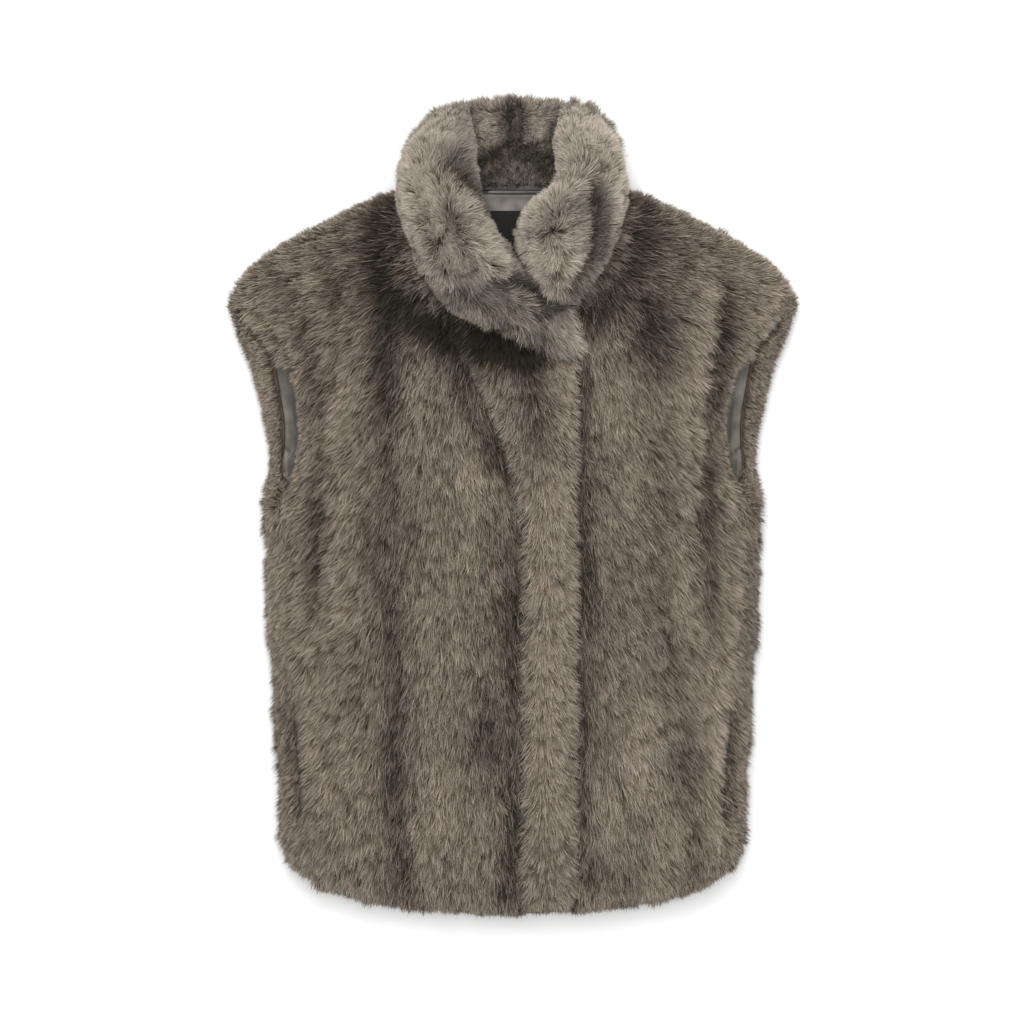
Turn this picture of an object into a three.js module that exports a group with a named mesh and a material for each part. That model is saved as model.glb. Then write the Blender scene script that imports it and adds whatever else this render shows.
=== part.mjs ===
// A long-pile fur vest laid flat on its back: one back panel that folds round to the side seams, its
// lining, two fronts, a lapped front band, a deep fur collar in three pieces, a label and a hanging loop.
// Millimetres, +X to the viewer's right, +Y from hem to collar, +Z up from the surface it lies on.
// Every panel is a fur wall, backing and lying pile together, and reaches as far as the pile does.
import * as THREE from "three";

// Levels of the layers, from the surface up.
const BACK_TOP = 12;
const LINING_BOTTOM = 12.3;
const LINING_TOP = 13.7;
const FRONT_BOTTOM = 14;
const FRONT_TOP = 32;
const UNDERLAP_TOP = 21.7;
const BAND_BOTTOM = 22.4;
const BAND_TOP = 37;
const COLLAR_BOTTOM = 32.4;
const SEAM_GAP = 0.4;

// How far the pile rolls over at an open edge, and how far it sinks beside a seam.
const BACK_ROLL = 12;
const BACK_RIM = 11;
const FRONT_ROLL = 18;
const FRONT_RIM = 15;
const SEAM_ROLL = 8;
const SEAM_DIP = 5;

// The outline, as stations on the viewer's right. The other side mirrors it.
const HEM = [
  { x: 0, y: -392 },
  { x: 60, y: -389 },
  { x: 106, y: -384 },
  { x: 157, y: -375 },
  { x: 190, y: -364 },
  { x: 214, y: -348 },
];
const SIDE = [
  { half: 214, y: -348 },
  { half: 223, y: -318 },
  { half: 224, y: -262 },
  { half: 229, y: -200 },
  { half: 230, y: -150 },
  { half: 235, y: -118 },
  { half: 237, y: -40 },
  { half: 239.5, y: 4 },
  { half: 234, y: 52 },
  { half: 240, y: 95 },
  { half: 252, y: 140 },
  { half: 264, y: 170 },
  { half: 273, y: 196 },
];
const SHOULDER = [
  { x: 273, y: 196 },
  { x: 266, y: 217 },
  { x: 248, y: 238 },
  { x: 215, y: 260 },
  { x: 183, y: 277 },
  { x: 141, y: 297 },
  { x: 110, y: 307 },
  { x: 60, y: 308 },
  { x: 0, y: 308 },
];

// The back's fold round each side: how high it stands and how far it reaches in over the lining's edge,
// which lies in a slot.
const FOLD = [
  { y: -348, height: 31, inset: 24 },
  { y: 2, height: 32, inset: 24 },
  { y: 23, height: 19.5, inset: 16 },
  { y: 28, height: 18, inset: 14 },
  { y: 126, height: 18, inset: 14 },
  { y: 158, height: 13.6, inset: 5 },
  { y: 196, height: 13.6, inset: 3 },
];
const FOLD_REACH = 0.62;
const FOLD_FULL_HEIGHT = 31;
const FOLD_ARMHOLE_HEIGHT = 18;
const FOLD_ARMHOLE_DIP = 0.25;
const FOLD_OVER_DEGREES = [90, 62, 34, 0];
const FOLD_UNDER_DEGREES = [30, 60, 90];
const SLOT_FROM = 13;
const SLOT_LEAST = 0.6;
const SLOT_HEIGHT = 2.4;
const SLOT_OPENS = { past: 0.9, over: 0.5 };
const STEP_HEIGHT = 0.4;

// How far the fronts' armhole edge lies inside the outline, above the side seam.
const ARMHOLE_TOP = 196;
const ARMHOLE = [
  { y: 2, inset: 24 },
  { y: 15, inset: 26 },
  { y: 46, inset: 27 },
  { y: 104, inset: 26.5 },
  { y: 128, inset: 20 },
  { y: 158, inset: 11 },
  { y: 178, inset: 5 },
  { y: ARMHOLE_TOP, inset: 1 },
];

// The pocket mouth is a stretch of side seam left open.
const POCKET = { low: -288, high: -176, gap: 3, ease: 10 };

// Inner edges of the fronts and both edges of the band, as x at heights up the middle.
const BAND_EDGES = [
  { y: -392, left: 7, right: 62 },
  { y: -203, left: 9, right: 64 },
  { y: -5, left: 9, right: 63 },
  { y: 75, left: -12, right: 65 },
  { y: 132, left: -36, right: 64 },
  { y: 169, left: -55, right: 62 },
  { y: 200, left: -58, right: 54 },
];
const NECK_LEFT = [
  { y: 201, x: -57 },
  { y: 212, x: -22 },
  { y: 238, x: -28 },
  { y: 262, x: -40 },
  { y: 285, x: -62 },
  { y: 308, x: -112 },
];
const NECK_RIGHT = [
  { y: 204, x: 15 },
  { y: 226, x: 31 },
  { y: 255, x: 31 },
  { y: 273, x: 45 },
  { y: 290, x: 74 },
  { y: 308, x: 112 },
];
const BAND_END = 200;
const UNDERLAP_LEAST = 1.5;

// The band's pile stands proud of the fronts and rolls over at its edges, but is pressed flat where the
// collar lies on it.
const BAND_PILE = { roll: 14, hemDip: 12, leftDip: 9, rightDip: 11 };
const BAND_PRESSED = { from: 126, over: 28, top: 31.4, leftDip: 2, rightDip: 4 };

// Channels and folds pressed into the fronts, each along a line from its top to its foot.
const FOLDS = [
  {
    name: "right side channel",
    width: 8,
    depth: 5,
    line: [[-167, 236], [-160, 171], [-173, 104], [-180, -12], [-179, -108]],
  },
  {
    name: "right middle channel",
    width: 11,
    depth: 4,
    line: [[-104, 210], [-112, 84], [-109, -50], [-110, -184], [-106, -372]],
  },
  {
    name: "right inner channel",
    width: 13,
    depth: 3.5,
    line: [[-16, 60], [-7, -127], [-26, -203], [-2, -280], [-6, -386]],
  },
  {
    name: "left side channel",
    width: 8,
    depth: 5,
    line: [[196, 233], [192, 161], [183, 84], [178, -50], [183, -127]],
  },
  {
    name: "left middle channel",
    width: 13,
    depth: 3,
    line: [[122, 205], [127, 84], [137, -50], [152, -190], [172, -290], [166, -360]],
  },
  {
    name: "lapel fold",
    width: 7,
    depth: 4,
    line: [[27, 160], [15, 104], [20, 65], [15, 6]],
  },
];
const FOLD_EASE = 30;

// The collar's back, as stations across it on the viewer's right.
const COLLAR_BACK_EDGE = [
  { x: -105, y: 344 },
  { x: -92, y: 366 },
  { x: -72, y: 383 },
  { x: -42, y: 391 },
  { x: 2, y: 395 },
  { x: 46, y: 391 },
  { x: 76, y: 386 },
  { x: 95, y: 368 },
  { x: 107, y: 344 },
];
const COLLAR_SEAM_Y = 308.35;
const COLLAR_BACK_PILE = { roll: 16, rim: 12, seamRoll: 10, seamDip: 10, endRoom: 2 };
const COLLAR_BACK_FOLDS = [
  { name: "centre back fold", width: 5, depth: 9, line: [[0, 410], [1, 372], [2, 343]] },
  { name: "left branch", width: 5, depth: 7, line: [[2, 345], [-12, 338], [-30, 320]] },
  { name: "right branch", width: 5, depth: 7, line: [[2, 345], [16, 340], [36, 328]] },
];

// The collar's front rolls: outer and inner edge from the back of the neck to the crossing.
const RIGHT_ROLL = {
  outer: [
    [-76, 382], [-104, 346], [-113, 311], [-111, 286], [-101, 256],
    [-76, 206], [-34, 178], [14, 163], [40, 157], [62, 156],
  ],
  inner: [
    [-41, 392], [-34, 360], [-32, 324], [-24, 288],
    [-7, 253], [13, 217], [31, 203], [61, 200],
  ],
  rise: [
    { t: 0, z: 3 },
    { t: 0.16, z: 17 },
    { t: 0.42, z: 30 },
    { t: 0.6, z: 30 },
    { t: 0.82, z: 18 },
    { t: 1, z: 5 },
  ],
};
const LEFT_ROLL = {
  outer: [
    [80, 385], [100, 353], [110, 323], [113, 303],
    [107, 272], [95, 242], [77, 216], [58, 202],
  ],
  inner: [
    [45, 391], [38, 356], [40, 322], [30, 306], [14, 294], [4, 276],
    [1, 257], [5, 236], [15, 217], [28, 206], [44, 204],
  ],
  rise: [
    { t: 0, z: 3 },
    { t: 0.2, z: 17 },
    { t: 0.55, z: 28 },
    { t: 0.78, z: 27 },
    { t: 1, z: 10 },
  ],
};
const ROLL_RIM = 6;
const ROLL_END = 0.07;
const ROLL_EDGE = 0.14;
const ROLL_FULLNESS = 3;
const LOBE_GROOVE = { across: 0.42, width: 0.09, depth: 7, from: 0.18, to: 0.86, ease: 0.15 };

// Small pieces in the neck.
const LABEL = { left: -29, right: 28, low: 249, high: 287.5, thick: 0.8 };
const LOOP = { left: -24, right: 30, y: 305.6, wide: 3.4, thick: 1.6 };
const LINING = { inset: 15.4, low: 0.035, high: 0.998 };
const STITCH_CLEAR = 0.3;

const MATERIALS = {
  fur: { color: 0x6b6259, roughness: 0.9 },
  collarFur: { color: 0x7d756b, roughness: 0.9 },
  satin: { color: 0x736f69, roughness: 0.4 },
  label: { color: 0x24231f, roughness: 0.6 },
};

const clamp01 = (s) => Math.min(1, Math.max(0, s));
const smooth = (s) => clamp01(s) ** 2 * (3 - 2 * clamp01(s));
const mix = (a, b, s) => a + (b - a) * s;

// Reads one column of a table at a value of another, easing smoothly between rows.
function readTable(table, from, to, at) {
  const last = table.length - 1;
  if (at <= table[0][from]) return table[0][to];
  if (at >= table[last][from]) return table[last][to];
  const i = table.findIndex((row) => row[from] > at);
  const [a, b] = [table[i - 1], table[i]];
  const slope = (p, q) => (q[to] - p[to]) / (q[from] - p[from]);
  const before = i > 1 ? slope(table[i - 2], a) : slope(a, b);
  const after = i < last ? slope(b, table[i + 1]) : slope(a, b);
  const here = slope(a, b);
  const calm = (s) => {
    if (s * here <= 0) return 0;
    return Math.sign(here) * Math.min(Math.abs(s + here) / 2, 2 * Math.abs(here));
  };
  const span = b[from] - a[from];
  const s = (at - a[from]) / span;
  const startPull = (2 * s ** 3 - 3 * s ** 2 + 1) * a[to] + (s ** 3 - 2 * s ** 2 + s) * span * calm(before);
  const endPull = (-2 * s ** 3 + 3 * s ** 2) * b[to] + (s ** 3 - s ** 2) * span * calm(after);
  return startPull + endPull;
}

const curveThrough = (points) => new THREE.SplineCurve(points.map(([x, y]) => new THREE.Vector2(x, y)));

function distanceToLine(points, x, y) {
  let best = Infinity;
  for (let i = 1; i < points.length; i++) {
    const [a, b] = [points[i - 1], points[i]];
    const [dx, dy] = [b.x - a.x, b.y - a.y];
    const s = clamp01(((x - a.x) * dx + (y - a.y) * dy) / (dx * dx + dy * dy));
    best = Math.min(best, Math.hypot(x - a.x - s * dx, y - a.y - s * dy));
  }
  return best;
}

// How far the surface sinks at a distance from an edge: a quarter ellipse, deepest at the edge.
const sink = (distance, roll, depth) => depth * (1 - Math.sqrt(1 - (1 - clamp01(distance / roll)) ** 2));

// Depth of all the soft troughs of a table at a point: each is a bell across and fades at its ends.
function troughs(folds, x, y) {
  let deepest = 0;
  for (const fold of folds) {
    const line = (fold.sampled ??= curveThrough(fold.line).getSpacedPoints(24));
    const away = distanceToLine(line, x, y);
    const ends = Math.min(line[0].distanceTo({ x, y }), line[24].distanceTo({ x, y }));
    const depth = fold.depth * Math.exp(-((away / fold.width) ** 2)) * mix(0.35, 1, smooth(ends / FOLD_EASE));
    deepest = Math.max(deepest, depth);
  }
  return deepest;
}

// The outline's four sides as curves, each run from the viewer's left or from the hem.
const mirrored = (stations) => [...stations].reverse().map((s) => [-s.x, s.y]);
const asPoints = (stations) => stations.map((s) => [s.x, s.y]);
const hemCurve = curveThrough([...mirrored(HEM), ...asPoints(HEM).slice(1)]);
const topStations = [...SHOULDER].reverse();
const topCurve = curveThrough([...mirrored(topStations), ...asPoints(topStations).slice(1)]);
const sideCurve = curveThrough(SIDE.map((s) => [s.half, s.y]));
const hemLine = hemCurve.getSpacedPoints(80);
const topLine = topCurve.getSpacedPoints(100);

// A point of the laid outline, u across from the viewer's left and v up from the hem, blended from its
// four sides as a Coons patch.
function outlinePoint(u, v) {
  const hem = hemCurve.getPointAt(clamp01(u));
  const top = topCurve.getPointAt(clamp01(u));
  const side = sideCurve.getPointAt(clamp01(v));
  const [low, high] = [SIDE[0], SIDE[SIDE.length - 1]];
  const along = 2 * u - 1;
  return {
    x: mix(hem.x, top.x, v) + along * (side.x - mix(low.half, high.half, v)),
    y: mix(hem.y, top.y, v) + side.y - mix(low.y, high.y, v),
  };
}

// The point of row v that has a given x.
function rowPointAt(x, v) {
  let [low, high] = [0, 1];
  for (let i = 0; i < 26; i++) {
    const middle = (low + high) / 2;
    if (outlinePoint(middle, v).x < x) low = middle;
    else high = middle;
  }
  return outlinePoint((low + high) / 2, v);
}

const rowEnd = (v) => sideCurve.getPointAt(clamp01(v));
const rowMiddle = (v) => outlinePoint(0.5, v).y;

// Places from 0 to 1, close together over a rolled edge at each end and even between.
function edgeSpaced(steps, rollStart, rollEnd) {
  const close = [0, 0.08, 0.3, 0.62];
  const start = close.map((s) => s * rollStart);
  const end = close.map((s) => 1 - s * rollEnd).reverse();
  const even = Array.from({ length: steps + 1 }, (_, i) => mix(rollStart, 1 - rollEnd, i / steps));
  return [...start, ...even, ...end];
}

// A closed wall over a grid of places: a top sheet, a bottom sheet and a rim between them.
function wall(across, up, place, topAt, bottomAt) {
  const [columns, rows] = [across.length, up.length];
  const positions = [];
  for (const sheet of [topAt, bottomAt])
    for (const v of up)
      for (const u of across) {
        const p = place(u, v);
        positions.push(p.x, p.y, sheet(p.x, p.y, u, v));
      }
  const at = (sheet, i, j) => (sheet * rows + j) * columns + i;
  const index = [];
  const quad = (a, b, c, d) => index.push(a, b, c, a, c, d);
  for (let j = 0; j + 1 < rows; j++)
    for (let i = 0; i + 1 < columns; i++) {
      quad(at(0, i, j), at(0, i + 1, j), at(0, i + 1, j + 1), at(0, i, j + 1));
      quad(at(1, i, j), at(1, i, j + 1), at(1, i + 1, j + 1), at(1, i + 1, j));
    }
  for (let i = 0; i + 1 < columns; i++) {
    quad(at(1, i, 0), at(1, i + 1, 0), at(0, i + 1, 0), at(0, i, 0));
    quad(at(0, i, rows - 1), at(0, i + 1, rows - 1), at(1, i + 1, rows - 1), at(1, i, rows - 1));
  }
  for (let j = 0; j + 1 < rows; j++) {
    quad(at(0, 0, j), at(0, 0, j + 1), at(1, 0, j + 1), at(1, 0, j));
    quad(at(1, columns - 1, j), at(1, columns - 1, j + 1), at(0, columns - 1, j + 1), at(0, columns - 1, j));
  }
  return new THREE.BufferGeometry()
    .setAttribute("position", new THREE.Float32BufferAttribute(positions, 3))
    .setIndex(index);
}

// The same with a level underside, which needs only its rim's own points.
function flatWall(across, up, place, topAt, level) {
  const full = wall(across, up, place, topAt, () => level);
  const [columns, rows] = [across.length, up.length];
  const under = columns * rows;
  const kept = [...full.index.array].filter((_, i, all) => {
    const face = all.slice(i - (i % 3), i - (i % 3) + 3);
    return !face.every((p) => p >= under);
  });
  const rim = [];
  for (let i = 0; i < columns; i++) rim.push(under + i);
  for (let j = 1; j < rows; j++) rim.push(under + j * columns + columns - 1);
  for (let i = columns - 2; i >= 0; i--) rim.push(under + (rows - 1) * columns + i);
  for (let j = rows - 2; j > 0; j--) rim.push(under + j * columns);
  const positions = full.getAttribute("position");
  const outline = rim.map((p) => new THREE.Vector2(positions.getX(p), positions.getY(p)));
  for (const [a, b, c] of THREE.ShapeUtils.triangulateShape(outline, [])) kept.push(rim[c], rim[b], rim[a]);
  return full.setIndex(kept);
}

// One section of the back at row v, as offsets in from the outline and heights, from the seam on top,
// round the fold, under, and back along the inside of the slot.
function foldSection(v) {
  const y = rowEnd(v).y;
  const [height, inset] = ["height", "inset"].map((column) => readTable(FOLD, "y", column, y));
  const slot = Math.max(inset - SLOT_FROM, SLOT_LEAST);
  const opened = smooth((inset - SLOT_FROM - SLOT_OPENS.past) / SLOT_OPENS.over);
  const slotHeight = mix(STEP_HEIGHT, SLOT_HEIGHT, opened);
  const reach = Math.min(inset * FOLD_REACH, FRONT_ROLL);
  const full = smooth((height - FOLD_ARMHOLE_HEIGHT) / (FOLD_FULL_HEIGHT - FOLD_ARMHOLE_HEIGHT));
  const seamDip = mix(FOLD_ARMHOLE_DIP, SEAM_DIP, full);
  const over = FOLD_OVER_DEGREES.map((degrees) => {
    const turn = THREE.MathUtils.degToRad(degrees);
    return { offset: reach * (1 - Math.cos(turn)), z: mix(BACK_TOP, height, Math.sin(turn)) };
  });
  const under = FOLD_UNDER_DEGREES.map((degrees) => {
    const turn = THREE.MathUtils.degToRad(degrees);
    return { offset: BACK_ROLL * (1 - Math.cos(turn)), z: BACK_TOP * (1 - Math.sin(turn)) };
  });
  const outside = [
    { offset: inset, z: height - seamDip },
    { offset: mix(reach, inset, 0.6), z: height - seamDip * 0.2 },
    ...over,
    ...under,
  ];
  const inside = [
    { offset: inset - slot, z: BACK_TOP },
    { offset: inset - slot - slotHeight / 3, z: BACK_TOP + slotHeight / 2 },
    { offset: inset - slot, z: BACK_TOP + slotHeight },
    { offset: inset, z: BACK_TOP + slotHeight },
  ];
  return { outside, inside };
}

// Lowers what stands above the back's own thickness, and raises what lies below it, beside an open edge.
const BODY_LEAST_HEIGHT = FRONT_BOTTOM + 2;
const END_LEAST_SHARE = 0.2;

function easedAtEnds(x, y, z, height) {
  const edge = Math.min(distanceToLine(hemLine, x, y), distanceToLine(topLine, x, y));
  if (z <= BACK_TOP) return Math.max(z, Math.min(z + BACK_RIM, sink(edge, BACK_ROLL, BACK_RIM)));
  const lowered = (height - sink(edge, FRONT_ROLL, FRONT_RIM) - BACK_TOP) / (height - BACK_TOP);
  return height > BODY_LEAST_HEIGHT ? mix(BACK_TOP, z, Math.max(lowered, END_LEAST_SHARE)) : z;
}

// The rows that all the panels share, with one wherever the fold, the armhole or the pocket turns.
const END_ROLL = 0.03;
const ROW_SPACING = 0.009;

function findRow(isBelow) {
  let [low, high] = [0, 1];
  for (let i = 0; i < 26; i++) {
    const middle = (low + high) / 2;
    if (isBelow(middle)) low = middle;
    else high = middle;
  }
  return (low + high) / 2;
}

const rowAtSideHeight = (y) => findRow((v) => rowEnd(v).y < y);
const sideRowOfMiddle = (y) => findRow((v) => rowMiddle(v) < y);

function sharedRows() {
  const pocketEnds = [POCKET.low, POCKET.low + POCKET.ease, POCKET.high - POCKET.ease, POCKET.high];
  const turns = [...FOLD, ...ARMHOLE].map((row) => row.y).concat(pocketEnds).map(rowAtSideHeight);
  turns.sort((a, b) => a - b);
  const inside = turns.filter((v) => v > END_ROLL && v < 1 - END_ROLL);
  const kept = inside.filter((v, i) => i === 0 || v - inside[i - 1] > ROW_SPACING / 4);
  const clear = (v) => v < END_ROLL || v > 1 - END_ROLL || kept.every((w) => Math.abs(v - w) > ROW_SPACING);
  return [...kept, ...edgeSpaced(20, END_ROLL, END_ROLL).filter(clear)];
}

// The band ends at a row of its own, just under the one where the left front comes up again.
const BAND_CLEAR = 0.0008;
const BAND_TOP_ROW = sideRowOfMiddle(BAND_END);
const ROWS_OVER_BAND = [BAND_TOP_ROW + BAND_CLEAR, BAND_TOP_ROW + 3 * BAND_CLEAR];
const ROWS = [...sharedRows(), ...ROWS_OVER_BAND].sort((a, b) => a - b);
const STEP_RUN = 0.5;
const STEP_SHARE = 0.001;
const LAP_STEP_SHARE = 0.005;
const LAP_CLEAR = 0.01;
const BACK_COLUMNS = [-0.78, -0.4, 0, 0.4, 0.78];
const BACK_FLAT_INSET = 30;

function backRing(v) {
  const half = rowEnd(v).x;
  const height = readTable(FOLD, "y", "height", rowEnd(v).y);
  const { outside, inside } = foldSection(v);
  const onSide = (side) => (s) => ({ x: side * (half - s.offset), z: s.z });
  const middle = (z) => BACK_COLUMNS.map((share) => ({ x: share * (half - BACK_FLAT_INSET), z }));
  const ring = [
    ...outside.map(onSide(-1)),
    ...middle(0),
    ...[...outside].reverse().map(onSide(1)),
    ...[...inside].reverse().map(onSide(1)),
    ...middle(BACK_TOP).reverse(),
    ...inside.map(onSide(-1)),
  ];
  return ring.map(({ x, z }) => {
    const p = rowPointAt(x, v);
    const inBody = height > BODY_LEAST_HEIGHT;
    return new THREE.Vector3(x, p.y, z < BACK_TOP || inBody ? easedAtEnds(x, p.y, z, height) : z);
  });
}

// A closed body through rings, with an end cap filled in on the first and last.
function ringBody(rings) {
  const count = rings[0].length;
  const positions = rings.flatMap((ring) => ring.flatMap((p) => [p.x, p.y, p.z]));
  const index = [];
  for (let j = 0; j + 1 < rings.length; j++)
    for (let i = 0; i < count; i++) {
      const [a, b] = [j * count + i, j * count + ((i + 1) % count)];
      index.push(a, b + count, b, a, a + count, b + count);
    }
  const capOf = (ring) => THREE.ShapeUtils.triangulateShape(ring.map((p) => new THREE.Vector2(p.x, p.z)), []);
  const last = (rings.length - 1) * count;
  for (const [a, b, c] of capOf(rings[0])) index.push(a, b, c);
  for (const [a, b, c] of capOf(rings[rings.length - 1])) index.push(last + a, last + c, last + b);
  return new THREE.BufferGeometry()
    .setAttribute("position", new THREE.Float32BufferAttribute(positions, 3))
    .setIndex(index);
}

// The pocket mouth's extra gap at a height, opening and closing softly.
function pocketGap(y) {
  const opened = smooth((y - POCKET.low) / POCKET.ease);
  const closed = smooth((POCKET.high - y) / POCKET.ease);
  return POCKET.gap * opened * closed;
}

// How far a front's side edge lies inside the outline: along the fold's seam, then round the armhole.
function frontInset(v) {
  const y = rowEnd(v).y;
  return readTable(ARMHOLE, "y", "inset", y) + (y < ARMHOLE_TOP - 20 ? SEAM_GAP : 0) + pocketGap(y);
}

const bandEdge = (column, y) => readTable(BAND_EDGES, "y", column, y);

// The fronts' inner edge at row v: against the band and round the neck, or under the band.
function innerEdge(side, v) {
  const y = rowMiddle(v);
  if (side > 0) return readTable(NECK_RIGHT, "y", "x", y);
  return y < NECK_LEFT[0].y ? bandEdge("left", y) - SEAM_GAP : readTable(NECK_LEFT, "y", "x", y) - SEAM_GAP;
}

const sideLine = (side, from, to) =>
  Array.from({ length: 41 }, (_, i) => {
    const v = mix(from, to, i / 40);
    return rowPointAt(side * (rowEnd(v).x - frontInset(v)), v);
  });
const UNDERARM_V = 0.66;
const innerLine = (side) => Array.from({ length: 61 }, (_, i) => rowPointAt(innerEdge(side, i / 60), i / 60));

// Where the left front steps down to lie under the band.
function lapLine(v) {
  return Math.max(innerEdge(1, v) + UNDERLAP_LEAST, bandEdge("right", rowMiddle(v)) + SEAM_GAP);
}

function frontPanel(side) {
  const seam = sideLine(side, 0, UNDERARM_V);
  const armhole = sideLine(side, UNDERARM_V, 1);
  const inner = innerLine(side);
  const outer = (v) => side * (rowEnd(v).x - frontInset(v));
  const lapped = (x, v) => side > 0 && x < lapLine(v) - LAP_CLEAR && v < BAND_TOP_ROW + 2 * BAND_CLEAR;
  const place = (u, v) => {
    if (side < 0) return rowPointAt(mix(outer(v), innerEdge(side, v), u), v);
    const [edge, lap] = [innerEdge(side, v), lapLine(v)];
    return rowPointAt(u < 0 ? mix(lap, edge, -u) : mix(lap, outer(v), u), v);
  };
  const top = (x, y, u, v) => {
    const ends = Math.min(distanceToLine(hemLine, x, y), distanceToLine(topLine, x, y));
    const open = Math.min(ends, distanceToLine(armhole, x, y));
    const beside = side < 0 ? distanceToLine(inner, x, y) : Math.max(x - lapLine(v), 0);
    const sunk = Math.max(
      sink(open, FRONT_ROLL, FRONT_RIM),
      sink(distanceToLine(seam, x, y), SEAM_ROLL, SEAM_DIP),
      sink(beside, SEAM_ROLL, SEAM_DIP),
    );
    const full = FRONT_TOP - Math.max(sunk, troughs(FOLDS, x, y));
    return lapped(x, v) ? Math.min(full, UNDERLAP_TOP) : full;
  };
  const body = edgeSpaced(11, 0.075, 0.05);
  const across = side < 0 ? body : [-1, -0.5, -LAP_STEP_SHARE, ...body.map((s) => 1 - s).reverse()];
  return flatWall(across, ROWS, place, top, FRONT_BOTTOM);
}

// Columns across the band: below 0 they lie on the right front, above 0 on the left front's underlap.
const BAND_COLUMNS = [-1, -0.9, -0.66, -0.33, -STEP_SHARE, 0, 0.12, 0.3, 0.5, 0.7, 0.84, 0.94, 1];

function frontBand() {
  const place = (u, v) => {
    const step = innerEdge(1, v) - SEAM_GAP;
    const [left, right] = ["left", "right"].map((column) => bandEdge(column, rowMiddle(v)));
    return rowPointAt(u < 0 ? mix(step - STEP_RUN, left, -u) : mix(step, right, u), v);
  };
  const top = (x, y) => {
    const pressed = smooth((y - BAND_PRESSED.from) / BAND_PRESSED.over);
    const leftRoll = mix(BAND_PILE.roll, SEAM_ROLL, pressed);
    const leftDip = mix(BAND_PILE.leftDip, BAND_PRESSED.leftDip, pressed);
    const rightDip = mix(BAND_PILE.rightDip, BAND_PRESSED.rightDip, pressed);
    const sunk = Math.max(
      sink(distanceToLine(hemLine, x, y), FRONT_ROLL, BAND_PILE.hemDip),
      sink(x - bandEdge("left", y), leftRoll, leftDip),
      sink(bandEdge("right", y) - x, BAND_PILE.roll, rightDip),
    );
    return mix(BAND_TOP, BAND_PRESSED.top, pressed) - Math.max(sunk, troughs(FOLDS, x, y));
  };
  const bottom = (x, y, u) => (u < 0 ? FRONT_BOTTOM + SEAM_GAP : BAND_BOTTOM);
  return wall(BAND_COLUMNS, [...ROWS.filter((v) => v < BAND_TOP_ROW), BAND_TOP_ROW], place, top, bottom);
}

function backLining() {
  const place = (u, v) => rowPointAt((2 * u - 1) * (rowEnd(v).x - LINING.inset), v);
  const rows = [LINING.low, ...ROWS.filter((v) => v > LINING.low && v < LINING.high), LINING.high];
  return flatWall([0, 0.5, 1], rows, place, () => LINING_TOP, LINING_BOTTOM);
}

function collarBack() {
  const topEdge = curveThrough(asPoints(COLLAR_BACK_EDGE));
  const line = topEdge.getSpacedPoints(60);
  const [left, right] = [COLLAR_BACK_EDGE[0].x, COLLAR_BACK_EDGE.at(-1).x];
  const place = (u, v) => {
    const high = topEdge.getPointAt(u);
    return { x: mix(mix(left, right, u), high.x, v), y: mix(COLLAR_SEAM_Y, high.y, v) };
  };
  const { roll, rim, seamRoll, seamDip, endRoom } = COLLAR_BACK_PILE;
  const edge = (x, y) => Math.min(distanceToLine(line, x, y), x - left + endRoom, right + endRoom - x);
  const top = (x, y) => {
    const open = sink(edge(x, y), roll, rim);
    const seam = sink(y - COLLAR_SEAM_Y, seamRoll, seamDip);
    return FRONT_TOP - Math.max(open, seam, troughs(COLLAR_BACK_FOLDS, x, y));
  };
  const bottom = (x, y) => sink(edge(x, y), BACK_ROLL, BACK_RIM);
  return wall(edgeSpaced(14, 0.06, 0.06), edgeSpaced(3, 0.1, 0.2), place, top, bottom);
}

// A front roll of the collar: two soft lobes side by side, highest where the collar turns over.
function collarRoll(side, roll) {
  const [outer, inner] = [curveThrough(roll.outer), curveThrough(roll.inner)];
  const place = (u, v) => {
    const along = side < 0 ? 1 - v : v;
    const [a, b] = [outer.getPointAt(along), inner.getPointAt(along)];
    return { x: mix(a.x, b.x, u), y: mix(a.y, b.y, u) };
  };
  const top = (x, y, u, v) => {
    const down = side < 0 ? 1 - v : v;
    const rise = readTable(roll.rise, "t", "z", down);
    const crown = Math.sqrt(Math.max(0, 1 - Math.abs(2 * u - 1) ** ROLL_FULLNESS));
    const end = Math.sqrt(1 - (1 - clamp01(Math.min(v, 1 - v) / ROLL_END)) ** 2);
    const parted = Math.exp(-(((u - LOBE_GROOVE.across) / LOBE_GROOVE.width) ** 2));
    const opens = smooth((down - LOBE_GROOVE.from) / LOBE_GROOVE.ease);
    const closes = smooth((LOBE_GROOVE.to - down) / LOBE_GROOVE.ease);
    const body = ROLL_RIM + rise * crown - LOBE_GROOVE.depth * parted * opens * closes;
    return COLLAR_BOTTOM + mix(ROLL_RIM / 3, body, end);
  };
  const across = edgeSpaced(6, ROLL_EDGE, ROLL_EDGE);
  return flatWall(across, edgeSpaced(19, ROLL_END, ROLL_END), place, top, COLLAR_BOTTOM);
}

// A small flat piece stitched on top of the lining.
function stitchedOn(left, right, low, high, thick) {
  const box = new THREE.BoxGeometry(right - left, high - low, thick);
  return box.translate((left + right) / 2, (low + high) / 2, LINING_TOP + STITCH_CLEAR + thick / 2);
}

const vest = new THREE.Group();

function sew(name, geometry, look) {
  const material = new THREE.MeshStandardMaterial({ metalness: 0, ...MATERIALS[look] });
  const mesh = new THREE.Mesh(geometry, material);
  mesh.name = name;
  vest.add(mesh);
}

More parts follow.
